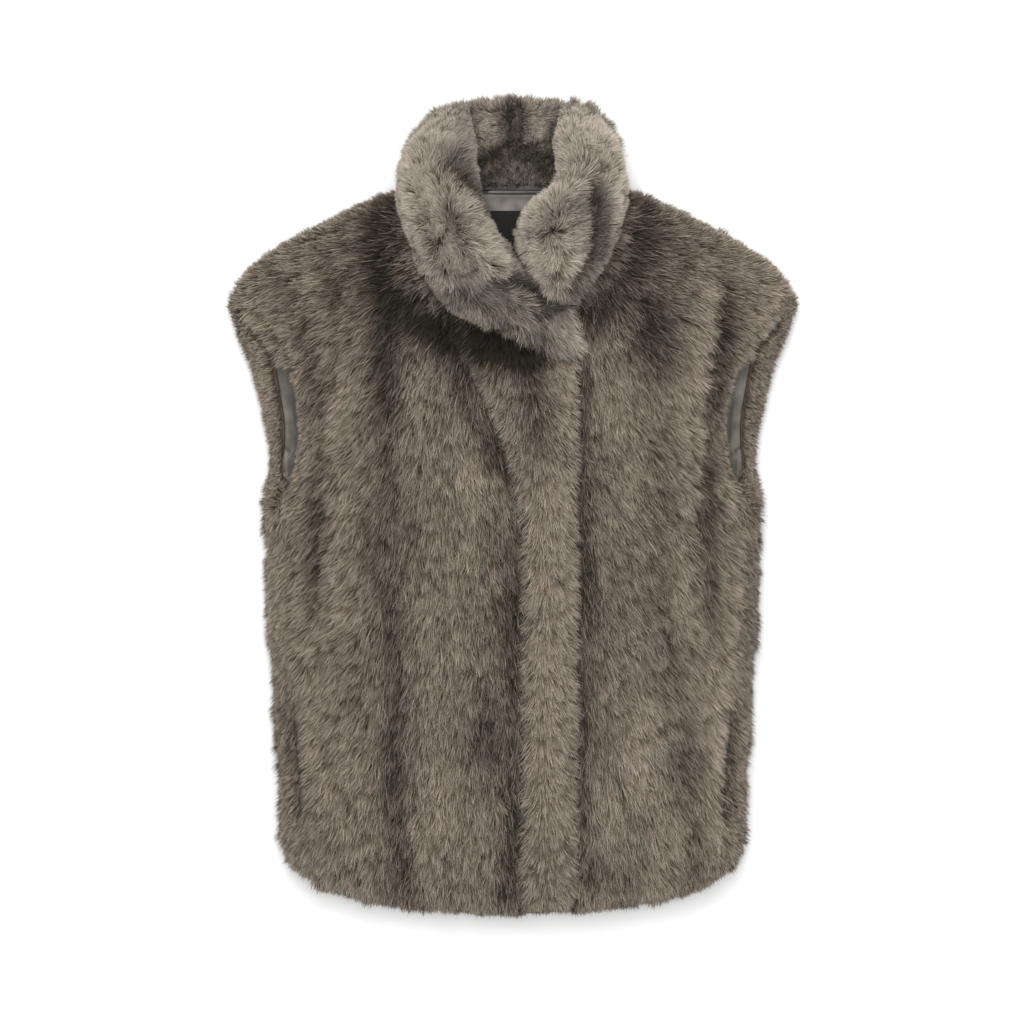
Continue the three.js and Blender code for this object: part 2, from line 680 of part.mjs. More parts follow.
sew("back", ringBody(ROWS.map(backRing)), "fur");
sew("back_lining", backLining(), "satin");
sew("front_right", frontPanel(-1), "fur");
sew("front_left", frontPanel(1), "fur");
sew("front_band", frontBand(), "fur");
sew("collar_back", collarBack(), "collarFur");
sew("collar_right", collarRoll(-1, RIGHT_ROLL), "collarFur");
sew("collar_left", collarRoll(1, LEFT_ROLL), "collarFur");
sew("label", stitchedOn(LABEL.left, LABEL.right, LABEL.low, LABEL.high, LABEL.thick), "label");
sew(
  "hanging_loop",
  stitchedOn(LOOP.left, LOOP.right, LOOP.y - LOOP.wide / 2, LOOP.y + LOOP.wide / 2, LOOP.thick),
  "satin",
);

export default vest;
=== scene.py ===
import math

import bpy
import numpy as np
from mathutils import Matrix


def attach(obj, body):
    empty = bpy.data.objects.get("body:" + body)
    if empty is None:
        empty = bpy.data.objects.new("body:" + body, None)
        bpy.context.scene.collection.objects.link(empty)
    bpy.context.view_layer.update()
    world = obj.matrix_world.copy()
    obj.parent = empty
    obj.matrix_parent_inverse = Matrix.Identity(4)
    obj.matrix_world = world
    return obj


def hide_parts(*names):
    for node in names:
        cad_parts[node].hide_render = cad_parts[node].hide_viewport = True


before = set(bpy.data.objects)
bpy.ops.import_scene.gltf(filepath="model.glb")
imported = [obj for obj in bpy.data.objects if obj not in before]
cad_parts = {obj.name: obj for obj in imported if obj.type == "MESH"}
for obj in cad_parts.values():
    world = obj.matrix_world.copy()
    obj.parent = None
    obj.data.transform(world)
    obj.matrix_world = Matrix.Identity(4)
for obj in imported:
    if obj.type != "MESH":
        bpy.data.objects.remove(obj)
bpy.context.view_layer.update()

# Camera, light and floor. The vest lies on a plain white floor, face up, and is seen from straight
# above. A soft light stands beyond the collar, a broader one hangs overhead, and an even white sky fills
# the shadows.
MM = 0.001
VIEW_WIDTH = 983.04
VIEW_CENTRE = (-0.5, -3.4)
LENS = 100.0
SENSOR = 36.0
FRONTS_LEVEL = 30.0
SKY_STRENGTH = 0.72
FLOOR_HALF = 4.0

camera_data = bpy.data.cameras.new("camera")
camera_data.lens = LENS
camera_data.sensor_width = SENSOR
camera_data.clip_end = 20.0
camera = bpy.data.objects.new("camera", camera_data)
camera_height = VIEW_WIDTH * LENS / SENSOR + FRONTS_LEVEL
camera.location = (VIEW_CENTRE[0] * MM, VIEW_CENTRE[1] * MM, camera_height * MM)
bpy.context.scene.collection.objects.link(camera)
bpy.context.scene.camera = camera
bpy.context.scene.view_settings.view_transform = "Standard"


def soft_light(name, place, target, size, power):
    """A square area light at place, turned towards target."""
    data = bpy.data.lights.new(name, "AREA")
    data.shape = "SQUARE"
    data.size = size
    data.energy = power
    light = bpy.data.objects.new(name, data)
    reach = np.subtract(target, place)
    light.location = place
    light.rotation_euler = (
        math.acos(-reach[2] / np.linalg.norm(reach)),
        0.0,
        math.atan2(reach[1], reach[0]) - math.pi / 2,
    )
    bpy.context.scene.collection.objects.link(light)


soft_light("window_light", (-0.25, 1.6, 1.9), (0.0, 0.0, 0.0), 1.4, 30.0)
soft_light("overhead_light", (0.0, 0.1, 3.4), (0.0, 0.0, 0.0), 3.2, 42.0)

sky = bpy.data.worlds.new("studio_sky")
bpy.context.scene.world = sky
sky.use_nodes = True
sky.node_tree.nodes["Background"].inputs["Color"].default_value = (1.0, 1.0, 1.0, 1.0)
sky.node_tree.nodes["Background"].inputs["Strength"].default_value = SKY_STRENGTH


def new_finish(name, values):
    """A material with these constant values on its shader's own sockets, its node tree and its shader."""
    finish = bpy.data.materials.new(name)
    finish.use_nodes = True
    surface = finish.node_tree.nodes["Principled BSDF"]
    for label, value in values.items():
        surface.inputs[label].default_value = value
    return finish, finish.node_tree, surface


floor_mesh = bpy.data.meshes.new("floor")
floor_corners = [(x * FLOOR_HALF, y * FLOOR_HALF, 0) for x, y in ((-1, -1), (1, -1), (1, 1), (-1, 1))]
floor_mesh.from_pydata(floor_corners, [], [(0, 1, 2, 3)])
floor_mesh.materials.append(
    new_finish("floor_paper", {"Base Color": (0.97, 0.97, 0.97, 1.0), "Roughness": 0.9})[0]
)
floor = bpy.data.objects.new("floor", floor_mesh)
bpy.context.scene.collection.objects.link(floor)

# Back. One panel of long-pile faux fur on a knitted backing. It lies underneath, and at each side it
# folds up and in to the side seam. Its outline is that of the whole laid vest below the collar.
BACK_TOP = 12.0
BACK_ROLL, BACK_RIM = 12.0, 11.0
FRONT_BOTTOM, FRONT_TOP = 14.0, 32.0
FRONT_ROLL, FRONT_RIM = 18.0, 15.0
SEAM_ROLL, SEAM_DIP = 8.0, 5.0
HEM = [(0, -392), (60, -389), (106, -384), (157, -375), (190, -364), (214, -348)]
SIDE = [
    (214, -348), (223, -318), (224, -262), (229, -200), (230, -150), (235, -118), (237, -40),
    (239.5, 4), (234, 52), (240, 95), (252, 140), (264, 170), (273, 196),
]
SHOULDER = [
    (273, 196), (266, 217), (248, 238), (215, 260), (183, 277), (141, 297), (110, 307), (60, 308), (0, 308),
]
FOLD = {
    "y": [-348, 2, 23, 28, 126, 158, 196],
    "height": [31, 32, 19.5, 18, 18, 13.6, 13.6],
    "inset": [24, 24, 16, 14, 14, 5, 3],
}
FOLD_LINES = [
    # width, depth, then the line from its top to its foot
    (8, 5, [(-167, 236), (-160, 171), (-173, 104), (-180, -12), (-179, -108)]),
    (11, 4, [(-104, 210), (-112, 84), (-109, -50), (-110, -184), (-106, -372)]),
    (13, 3.5, [(-16, 60), (-7, -127), (-26, -203), (-2, -280), (-6, -386)]),
    (8, 5, [(196, 233), (192, 161), (183, 84), (178, -50), (183, -127)]),
    (13, 3, [(122, 205), (127, 84), (137, -50), (152, -190), (172, -290), (166, -360)]),
    (7, 4, [(27, 160), (15, 104), (20, 65), (15, 6)]),
]
FOLD_EASE = 30.0
FOLD_AT_ENDS = 0.35
ROW_HALVINGS = 18


def smooth(s):
    """0 below 0, 1 above 1, and an even S-curve between."""
    s = np.clip(s, 0.0, 1.0)
    return s * s * (3.0 - 2.0 * s)


def near(distance, reach):
    """1 where the distance is 0, falling in an S-curve to 0 where it is the reach."""
    return smooth(1 - distance / reach)


def mix(a, b, s):
    """a at s = 0, b at s = 1."""
    return a + (b - a) * s


def curve_through(points, samples=500):
    """A Catmull-Rom curve through the points, resampled evenly along its own length."""
    p = np.asarray(points, float)
    p = np.vstack([p[:1], p, p[-1:]])
    t = np.linspace(0, len(p) - 3, samples * 4)
    i = np.minimum(t.astype(int), len(p) - 4)
    s = (t - i)[:, None]
    start, end = (p[i + 2] - p[i]) / 2, (p[i + 3] - p[i + 1]) / 2
    fine = (
        (2 * s**3 - 3 * s**2 + 1) * p[i + 1] + (s**3 - 2 * s**2 + s) * start
        + (-2 * s**3 + 3 * s**2) * p[i + 2] + (s**3 - s**2) * end
    )
    run = np.concatenate([[0], np.cumsum(np.linalg.norm(np.diff(fine, axis=0), axis=1))])
    at = np.linspace(0, run[-1], samples)
    return np.column_stack([np.interp(at, run, fine[:, k]) for k in range(2)])


def along(curve, share):
    """The x and y at shares from 0 to 1 of a curve's length."""
    at = np.clip(share, 0.0, 1.0) * (len(curve) - 1)
    return tuple(np.interp(at, np.arange(len(curve)), curve[:, k]) for k in range(2))


def both_sides(half):
    """An outline's right half, given from the middle out, with its mirror image before it."""
    return [(-x, y) for x, y in half[:0:-1]] + list(half)


hem_curve = curve_through(both_sides(HEM))
top_curve = curve_through(both_sides(SHOULDER[::-1]))
side_curve = curve_through(SIDE)


def laid_point(u, v):
    """Coons patch: u runs across between the sides and v up from the hem curve to the shoulder curve, and
    each side's own shape is added in the measure that the point is near it."""
    (hem_x, hem_y), (top_x, top_y) = along(hem_curve, u), along(top_curve, u)
    side_x, side_y = along(side_curve, v)
    x = mix(hem_x, top_x, v) + (2 * u - 1) * (side_x - mix(SIDE[0][0], SIDE[-1][0], v))
    y = mix(hem_y, top_y, v) + side_y - mix(SIDE[0][1], SIDE[-1][1], v)
    return x, y


def row_point(x, v):
    """The point of row v that lies at x, found by halving the row again and again."""
    x, v = np.broadcast_arrays(np.asarray(x, float), np.asarray(v, float))
    low, high = np.zeros(x.shape), np.ones(x.shape)
    for _ in range(ROW_HALVINGS):
        middle = (low + high) / 2
        left = laid_point(middle, v)[0] < x
        low, high = np.where(left, middle, low), np.where(left, high, middle)
    return x, laid_point((low + high) / 2, v)[1]


def row_side(v):
    """The outline's half width and height at the end of row v."""
    return along(side_curve, v)


def distance_to(line, x, y):
    """Distance from each point to a polyline: the least over its straight pieces."""
    nearest = np.full(np.shape(x), np.inf)
    for (ax, ay), (bx, by) in zip(line[:-1], line[1:]):
        dx, dy = bx - ax, by - ay
        s = np.clip(((x - ax) * dx + (y - ay) * dy) / (dx * dx + dy * dy + 1e-9), 0, 1)
        nearest = np.minimum(nearest, np.hypot(x - ax - s * dx, y - ay - s * dy))
    return nearest


def sink(distance, roll, depth):
    """How far a surface sinks towards an edge: a quarter ellipse, deepest at the edge."""
    return depth * (1 - np.sqrt(1 - (1 - np.clip(distance / roll, 0, 1)) ** 2))


def troughs(table, x, y, samples=16):
    """The deepest of a table's soft troughs at a point: each a bell across its line, fading at its ends."""
    deepest = np.zeros(np.shape(x))
    for width, depth, line in table:
        line = curve_through(line, samples)
        ends = np.minimum(*(np.hypot(x - end_x, y - end_y) for end_x, end_y in (line[0], line[-1])))
        bell = np.exp(-((distance_to(line, x, y) / width) ** 2))
        deepest = np.maximum(deepest, depth * bell * mix(FOLD_AT_ENDS, 1.0, smooth(ends / FOLD_EASE)))
    return deepest


def body_troughs(x, y):
    """The depth of the long folds of the fronts and the band."""
    return troughs(FOLD_LINES, x, y, 26)


hem_line, top_line = hem_curve[::7], top_curve[::7]


def drift(x, y, size_x, size_y, seed):
    """Smooth random drift between -1 and 1: random values at the corners of a lattice, eased between."""
    table = np.random.default_rng(seed).uniform(-1, 1, (64, 64))
    a, b = x / size_x + 31.7, y / size_y + 17.3
    i, j = np.floor(a).astype(int), np.floor(b).astype(int)
    s, t = smooth(a - i), smooth(b - j)
    low, high = (mix(table[i % 64, k % 64], table[(i + 1) % 64, k % 64], s) for k in (j, j + 1))
    return mix(low, high, t)


def stations(*spans):
    """Places along a piece, close where it curves: spans given as start, end and count, joined end to end."""
    return np.concatenate([np.linspace(*span)[:-1] for span in spans[:-1]] + [np.linspace(*spans[-1])])


def unit(vectors):
    """Vectors brought to a length of 1."""
    return vectors / np.maximum(np.linalg.norm(vectors, axis=-1, keepdims=True), 1e-9)


def normals_of(skin):
    """Unit normals of a grid of points: the cross product of its two directions."""
    return unit(np.cross(np.gradient(skin, axis=1), np.gradient(skin, axis=0)))


def make_piece(name, points, faces, finish):
    """A mesh piece from points in millimetres and faces given as rows of point numbers."""
    mesh = bpy.data.meshes.new(name)
    places = (np.asarray(points).reshape(-1, 3) * MM).tolist()
    mesh.from_pydata(places, [], [list(map(int, face)) for face in faces])
    mesh.polygons.foreach_set("use_smooth", np.ones(len(mesh.polygons), bool))
    mesh.materials.append(finish)
    mesh.update()
    piece = bpy.data.objects.new(name, mesh)
    bpy.context.scene.collection.objects.link(piece)
    return piece


def grid_faces(rows, columns, start=0, turned=False):
    """The four-sided faces of a grid of points numbered row by row."""
    corner = start + (np.arange(rows - 1)[:, None] * columns + np.arange(columns - 1)[None, :]).ravel()
    faces = np.column_stack([corner, corner + 1, corner + columns + 1, corner + columns])
    return faces[:, ::-1] if turned else faces


def closed_wall(top, bottom):
    """A closed wall from an upper and a lower grid of points: both sheets and a rim round them."""
    rows, columns = top.shape[:2]
    under = rows * columns
    ring = np.concatenate([
        np.arange(columns),
        np.arange(1, rows) * columns + columns - 1,
        (rows - 1) * columns + np.arange(columns - 2, -1, -1),
        np.arange(rows - 2, 0, -1) * columns,
    ])
    after = np.roll(ring, -1)
    rim = np.column_stack([ring + under, after + under, after, ring])
    faces = np.vstack([grid_faces(rows, columns), grid_faces(rows, columns, under, True), rim])
    return np.concatenate([top.reshape(-1, 3), bottom.reshape(-1, 3)]), faces


def tube_faces(rings, around, turned=False):
    """The faces of a closed tube, from rings of points numbered ring by ring, and a cap at each end."""
    numbers = np.arange(rings * around).reshape(rings, around)
    loop = np.concatenate([numbers, numbers[:, :1]], axis=1)
    corners = [loop[:-1, :-1], loop[1:, :-1], loop[1:, 1:], loop[:-1, 1:]]
    caps = [numbers[0], numbers[-1][::-1]]
    if turned:
        corners, caps = [corners[k] for k in (0, 3, 2, 1)], [cap[::-1] for cap in caps]
    return list(np.stack(corners, axis=2).reshape(-1, 4)) + caps


def new_group(name, inputs, output, output_kind):
    """An empty shader node group with named inputs and one output, and the node that its inputs come from."""
    group = bpy.data.node_groups.new(name, "ShaderNodeTree")
    for label, kind in inputs.items():
        group.interface.new_socket(name=label, in_out="INPUT", socket_type=kind)
    group.interface.new_socket(name=output, in_out="OUTPUT", socket_type=output_kind)
    return group, group.nodes.new("NodeGroupInput")


def add_node(tree, kind, values=(), links=(), **settings):
    """A shader node: its settings, its inputs' constant values, and the sockets that feed the others."""
    node = tree.nodes.new(kind)
    for name, value in settings.items():
        setattr(node, name, value)
    for name, value in dict(values).items():
        node.inputs[name].default_value = value
    for name, source in dict(links).items():
        tree.links.new(source, node.inputs[name])
    return node


# The colour of one hair of pile: dark at the root, taupe up the shaft and pale at the tip, all
# brightened or darkened by the tone of that hair. That tone carries painted shade, painted shadow and
# painted highlights as well as the pile's own uneven tone.
SHAFT_FROM, SHAFT_TO = 0.12, 0.55
TIP_FROM, TIP_TO = 0.5, 1.0
EVEN_TONE = 0.5
pile_colour, hair_colours = new_group(
    "pile_colour",
    {**dict.fromkeys(("Root", "Shaft", "Tip"), "NodeSocketColor"), "Contrast": "NodeSocketFloat"},
    "Color", "NodeSocketColor",
)
hair_map = add_node(pile_colour, "ShaderNodeUVMap", uv_map="strand")
hair_place = add_node(pile_colour, "ShaderNodeSeparateXYZ", links={"Vector": hair_map.outputs["UV"]})


def blend_up(tree, value, start, end, low, high):
    """A colour that goes from low to high while value goes from start to end."""
    span = add_node(tree, "ShaderNodeMapRange", {"From Min": start, "From Max": end}, {"Value": value})
    feeds = {"Factor": span.outputs["Result"], 6: low, 7: high}
    return add_node(tree, "ShaderNodeMix", (), feeds, data_type="RGBA").outputs[2]


up_hair, hair_tone = hair_place.outputs["Y"], hair_place.outputs["X"]
shaft_colour = blend_up(
    pile_colour, up_hair, SHAFT_FROM, SHAFT_TO, hair_colours.outputs["Root"], hair_colours.outputs["Shaft"],
)
tipped = blend_up(pile_colour, up_hair, TIP_FROM, TIP_TO, shaft_colour, hair_colours.outputs["Tip"])
off_even = add_node(pile_colour, "ShaderNodeMath", {1: EVEN_TONE}, {0: hair_tone}, operation="SUBTRACT")
brightness = add_node(
    pile_colour, "ShaderNodeMath", {2: 1.0}, {0: off_even.outputs[0], 1: hair_colours.outputs["Contrast"]},
    operation="MULTIPLY_ADD",
)
toned = add_node(
    pile_colour, "ShaderNodeVectorMath", (), {0: tipped, "Scale": brightness.outputs[0]}, operation="SCALE",
)
add_node(pile_colour, "NodeGroupOutput", (), {"Color": toned.outputs[0]})


def fur_finish(name, root, shaft, tip, contrast):
    """The finish of lying pile: the hair colours, soft fibre roughness and a faint warm sheen."""
    finish, tree, surface = new_finish(name, {
        "Roughness": 0.55,
        "Specular IOR Level": 0.22,
        "Specular Tint": (1.0, 0.84, 0.68, 1.0),
        "Sheen Weight": 0.14,
        "Sheen Roughness": 0.45,
        "Sheen Tint": (1.0, 0.86, 0.72, 1.0),
    })
    shades = {label: (*shade, 1.0) for label, shade in (("Root", root), ("Shaft", shaft), ("Tip", tip))}
    colours = add_node(tree, "ShaderNodeGroup", {**shades, "Contrast": contrast}, node_tree=pile_colour)
    tree.links.new(colours.outputs["Color"], surface.inputs["Base Color"])
    return finish


body_pile = fur_finish(
    "body_pile", root=(0.040, 0.027, 0.018), shaft=(0.124, 0.097, 0.073), tip=(0.380, 0.332, 0.273),
    contrast=1.9,
)


def two_tones(tree, value, start, dark, end, light):
    """A colour ramp: the dark tone up to start, the light one from end on, and a blend between."""
    ramp = add_node(tree, "ShaderNodeValToRGB", (), {"Fac": value})
    for stop, place, tone in zip(ramp.color_ramp.elements, (start, end), (dark, light)):
        stop.position, stop.color = place, (*tone, 1.0)
    return ramp.outputs["Color"]


# The backing under the pile is a dense dark underfur, uneven in tone and combed into fine streaks.
underfur, under_tree, under_surface = new_finish(
    "underfur", {"Roughness": 0.85, "Specular IOR Level": 0.2, "Sheen Weight": 0.2},
)
under_place = add_node(under_tree, "ShaderNodeTexCoord").outputs["Object"]
under_turn = add_node(
    under_tree, "ShaderNodeMapping", {"Scale": (420.0, 90.0, 200.0), "Rotation": (0.0, 0.0, 0.35)},
    {"Vector": under_place},
)
under_streaks = add_node(
    under_tree, "ShaderNodeTexNoise", {"Scale": 1.0, "Detail": 4.0}, {"Vector": under_turn.outputs["Vector"]},
).outputs["Fac"]
under_bump = add_node(
    under_tree, "ShaderNodeBump", {"Strength": 0.8, "Distance": 0.002}, {"Height": under_streaks},
)
under_tones = two_tones(under_tree, under_streaks, 0.3, (0.038, 0.028, 0.020), 0.75, (0.12, 0.097, 0.075))
under_tree.links.new(under_tones, under_surface.inputs["Base Color"])
under_tree.links.new(under_bump.outputs["Normal"], under_surface.inputs["Normal"])

# The hairs, in millimetres, degrees and shares. A pair of turns is for hair that stands and hair that is
# laid over. A pair of spreads is for a whole tuft and for each hair. Pulls draw a hair to its tuft's middle.
MID_SHARE = 0.42
HALF_WIDTH = (0.25, 0.52)
HAIR_CLEAR = 0.4
HAIR_CEILING = 79.0
FULLY_LAID = 0.85
LEVEL_LEAST = 0.18
STANDING_LIFT = (66.0, 48.0)
STANDING_SHARE = 0.62
TUFT_TURN, HAIR_TURN = (75.0, 8.0), (38.0, 9.0)
LIFT_SPREAD = (3.0, 7.0)
LEAN_SPREAD = (3.0, 8.0)
SIZE_SPREAD, SIZE_LIMITS = (0.10, 0.14), (0.5, 1.45)
MIDDLE_PULL, POINT_PULL, PULL_REACH = 0.08, 0.17, 1.2
BEND_SPREAD = 0.07
ROLL_SPREAD = 26.0
TONE_SPREAD, TONE_LIMITS = (0.035, 0.16), (0.02, 0.98)
TONE_LIFT = 0.05
GUARD_SHARE, GUARD_DARKER = 0.18, 0.28


def combed(normals, flat_x, flat_y):
    """Turns a direction given in plan into one that lies in the surface: it climbs or falls with it. Its
    length, from 0 to 1, is how far the hair is laid over: where the comb fades the hair stands up."""
    slope = normals[..., 0] * flat_x + normals[..., 1] * flat_y
    rise = -slope / np.maximum(np.abs(normals[..., 2]), LEVEL_LEAST)
    rise = np.where(normals[..., 2] < 0, -rise, rise)
    laid = smooth(np.hypot(flat_x, flat_y) / FULLY_LAID)[..., None]
    return laid * unit(np.stack([flat_x, flat_y, rise], axis=-1))


def grow_pile(
    name, roots, normals, comb, density, length, tone, finish, count, seed, tuft=8.0, lift=(30, 8),
):
    """Pile as joined hairs. A hair is two flat faces: from its root it rises at the first lift angle to its
    widest place, then leans over at the second to its point. Roots are strewn over the grid by area and
    density. Hairs of one tuft share a lean, a tone and a turn, and their points draw together."""
    dice = np.random.default_rng(seed)
    rows, columns = roots.shape[:2]
    field = np.concatenate([roots, normals, comb, length[..., None], tone[..., None]], axis=2)
    edge_up, edge_over = roots[1:, :-1] - roots[:-1, :-1], roots[:-1, 1:] - roots[:-1, :-1]
    area = np.linalg.norm(np.cross(edge_up, edge_over), axis=2)
    weight = np.cumsum((area * density[:-1, :-1]).ravel())
    cell = np.minimum(np.searchsorted(weight, dice.random(count) * weight[-1]), len(weight) - 1)
    row, column = np.divmod(cell, columns - 1)
    up, over = row + dice.random(count), column + dice.random(count)

    def sampled(up, over):
        """The grid's fields at places between its points, by straight lines both ways."""
        up, over = np.clip(up, 0, rows - 1.001), np.clip(over, 0, columns - 1.001)
        j, i = up.astype(int), over.astype(int)
        t, s = (up - j)[:, None], (over - i)[:, None]
        return mix(mix(field[j, i], field[j, i + 1], s), mix(field[j + 1, i], field[j + 1, i + 1], s), t)

    own = sampled(up, over)
    root, normal, way, size, shade = own[:, :3], unit(own[:, 3:6]), own[:, 6:9], own[:, 9], own[:, 10]
    laid = np.linalg.norm(way, axis=1).clip(0, 1)
    way = unit(way)

    # The nearest of the scattered tuft centres gives each hair its tuft's nature and the way to its middle.
    step_up = np.linalg.norm(np.diff(roots, axis=0), axis=2).mean() / tuft
    step_over = np.linalg.norm(np.diff(roots, axis=1), axis=2).mean() / tuft
    a, b = up * step_up, over * step_over
    tall, wide = int(rows * step_up) + 4, int(columns * step_over) + 4
    spread = dice.random((tall, wide, 2))
    nature = dice.normal(0, 1, (tall, wide, 3))
    best = np.full(count, np.inf)
    centre = np.zeros((count, 2))
    kind = np.zeros((count, 3))
    for da, db in ((da, db) for da in (-1, 0, 1) for db in (-1, 0, 1)):
        ia = np.clip(np.floor(a).astype(int) + da, 0, tall - 1)
        ib = np.clip(np.floor(b).astype(int) + db, 0, wide - 1)
        spot = np.stack([ia, ib], 1) + spread[ia, ib]
        away = (spot[:, 0] - a) ** 2 + (spot[:, 1] - b) ** 2
        closer = away < best
        best = np.where(closer, away, best)
        centre[closer], kind[closer] = spot[closer], nature[ia, ib][closer]
    pull = sampled(centre[:, 0] / step_up, centre[:, 1] / step_over)[:, :3] - root
    pull *= np.minimum(1, PULL_REACH * tuft / np.maximum(np.linalg.norm(pull, axis=1, keepdims=True), 1e-6))

    def scattered(by_tuft, by_hair, which):
        """A random share: the tuft's own, plus one for each hair."""
        return by_tuft * kind[:, which] + by_hair * dice.normal(0, 1, count)

    turn = np.radians(scattered(mix(*TUFT_TURN, laid), mix(*HAIR_TURN, laid), 0))[:, None]
    way = way * np.cos(turn) + unit(np.cross(way, normal)) * np.sin(turn)
    side = unit(np.cross(way, normal))
    size = size * (1 + scattered(*SIZE_SPREAD, 1)).clip(*SIZE_LIMITS)
    size = (size * mix(STANDING_SHARE, 1.0, laid))[:, None]
    first = np.radians(mix(STANDING_LIFT[0], lift[0], laid) + scattered(*LIFT_SPREAD, 1))[:, None]
    second = np.radians(mix(STANDING_LIFT[1], lift[1], laid) + scattered(*LEAN_SPREAD, 1))[:, None]
    to_middle = (way * np.cos(first) + normal * np.sin(first)) * size * MID_SHARE
    to_point = (way * np.cos(second) + normal * np.sin(second)) * size * (1 - MID_SHARE)
    middle = root + to_middle + pull * MIDDLE_PULL
    bend = side * dice.normal(0, BEND_SPREAD, (count, 1)) * size
    point = middle + to_point + pull * POINT_PULL + bend
    roll = np.radians(dice.normal(0, ROLL_SPREAD, count))[:, None]
    edge = (side * np.cos(roll) + normal * np.sin(roll)) * dice.uniform(*HALF_WIDTH, (count, 1))
    hairs = np.stack([root, middle - edge, middle + edge, point], axis=1)
    hairs[..., 2] = hairs[..., 2].clip(HAIR_CLEAR, HAIR_CEILING)

    mesh = bpy.data.meshes.new(name)
    mesh.vertices.add(count * 4)
    mesh.vertices.foreach_set("co", (hairs * MM).ravel().astype(np.float32))
    corners = (np.arange(count)[:, None] * 4 + np.array([0, 2, 1, 1, 2, 3])).ravel()
    mesh.loops.add(count * 6)
    mesh.loops.foreach_set("vertex_index", corners.astype(np.int32))
    mesh.polygons.add(count * 2)
    mesh.polygons.foreach_set("loop_start", (np.arange(count * 2) * 3).astype(np.int32))
    mesh.polygons.foreach_set("use_smooth", np.ones(count * 2, bool))
    mesh.update(calc_edges=True)
    guard = GUARD_DARKER * (dice.random(count) < GUARD_SHARE)
    shade = (shade + TONE_LIFT + scattered(*TONE_SPREAD, 2) - guard).clip(*TONE_LIMITS)
    across = shade[:, None] + np.array([0, 0.004, -0.004, -0.004, 0.004, 0])
    up_hair = np.broadcast_to([0, MID_SHARE, MID_SHARE, MID_SHARE, MID_SHARE, 1.0], (count, 6))
    places = np.stack([across, up_hair], axis=2).ravel().astype(np.float32)
    for layer in ("strand", "OFBake"):
        mesh.uv_layers.new(name=layer).data.foreach_set("uv", places)
    mesh.materials.append(finish)
    piece = bpy.data.objects.new(name, mesh)
    bpy.context.scene.collection.objects.link(piece)
    return piece


POCKET = {"low": -288.0, "high": -176.0, "gap": 3.0, "ease": 10.0}
FOLD_REACH = 0.62
FLAT_DIP = 0.25
FLOOR_FROM, FLOOR_TO, FLOOR_NEXT = 15.0, 44.0, 46.0
LEAST_LOWERED = 0.2
BACK_PILE = {"height": [13.6, 18, 32], "depth": [2.0, 4.0, 6.0], "length": [7, 9, 13]}
PELT_CLEAR = 0.3
END_INSET, END_REACH = 4.5, 16.0


def table_at(table, column, y):
    """One column of a table, read by straight lines between its rows."""
    return np.interp(y, table["y"], table[column])


def pocket_mouth(y):
    """1 along the pocket mouth, 0 above and below it, softened at both ends."""
    return smooth((y - POCKET["low"]) / POCKET["ease"]) * smooth((POCKET["high"] - y) / POCKET["ease"])


def seam_dip(y):
    """How far the side seam lies below the fur beside it: 1 mm, and more along the pocket mouth."""
    return 1.0 + (SEAM_DIP - 1.0) * pocket_mouth(y)


def fold_profile(v):
    """Sections of the back at rows v, from the seam on top, over the fold, under and in along the floor, as
    offsets in from the outline and heights: a falling crown, an elliptic turn and a round one."""
    half, y = row_side(v)
    height, inset = (table_at(FOLD, column, y)[:, None] for column in ("height", "inset"))
    reach = np.minimum(inset * FOLD_REACH, FRONT_ROLL)
    dip = mix(FLAT_DIP, seam_dip(y)[:, None], smooth((height - 18) / 13))
    seam = np.linspace(0, 1, 8)
    over = np.radians(np.linspace(90, 0, 12)[1:])
    under = np.radians(np.linspace(0, 90, 8)[1:])
    each_row = np.ones((len(v), 1))
    offsets = np.hstack([
        mix(inset, reach, seam),
        reach * (1 - np.cos(over)),
        BACK_ROLL * (1 - np.cos(under)) * each_row,
        np.linspace(FLOOR_FROM, FLOOR_TO, 4) * each_row,
    ])
    levels = np.hstack([
        height - dip * (1 - seam) ** 3,
        BACK_TOP + (height - BACK_TOP) * np.sin(over),
        BACK_TOP * (1 - np.sin(under)) * each_row,
        np.zeros((len(v), 4)),
    ])
    return half[:, None], height, inset, offsets, levels


back_v = stations((0, 0.03, 5), (0.03, 0.97, 70), (0.97, 1, 5))
half, fold_height, fold_inset, offsets, levels = fold_profile(back_v)
floor_x = np.linspace(-1, 1, 42)[1:-1] * (half - FLOOR_NEXT)
back_x = np.hstack([offsets - half, floor_x, (half - offsets)[:, ::-1]])
back_z = np.hstack([levels, 0 * floor_x, levels[:, ::-1]])
_, back_y = row_point(back_x, back_v[:, None])
to_hem, to_top = distance_to(hem_line, back_x, back_y), distance_to(top_line, back_x, back_y)
to_end = np.minimum(to_hem, to_top)
lowered = (fold_height - sink(to_end, FRONT_ROLL, FRONT_RIM) - BACK_TOP) / (fold_height - BACK_TOP)
raised = np.maximum(back_z, np.minimum(back_z + BACK_RIM, sink(to_end, BACK_ROLL, BACK_RIM)))
above = np.where(
    fold_height > FRONT_BOTTOM + 2, mix(BACK_TOP, back_z, np.maximum(lowered, LEAST_LOWERED)), back_z,
)
back_z = np.where(back_z <= BACK_TOP, raised, above)
back_skin = np.stack([back_x, back_y, back_z], axis=2)
back_normals = -normals_of(back_skin)
back_depth = np.interp(fold_height, BACK_PILE["height"], BACK_PILE["depth"])
back_depth = back_depth * smooth((back_normals[..., 2] + 0.9) / 0.5)
back_roots = back_skin - back_normals * back_depth[..., None]
back_roots[..., 2] = np.maximum(back_roots[..., 2], PELT_CLEAR)
back_roots[..., 1] += END_INSET * (near(to_hem, END_REACH) - near(to_top, END_REACH))
inside_share = np.array([1.0, 0.96, 0.7, 0.35, 0.0, -0.35, -0.7, -0.96, -1.0])
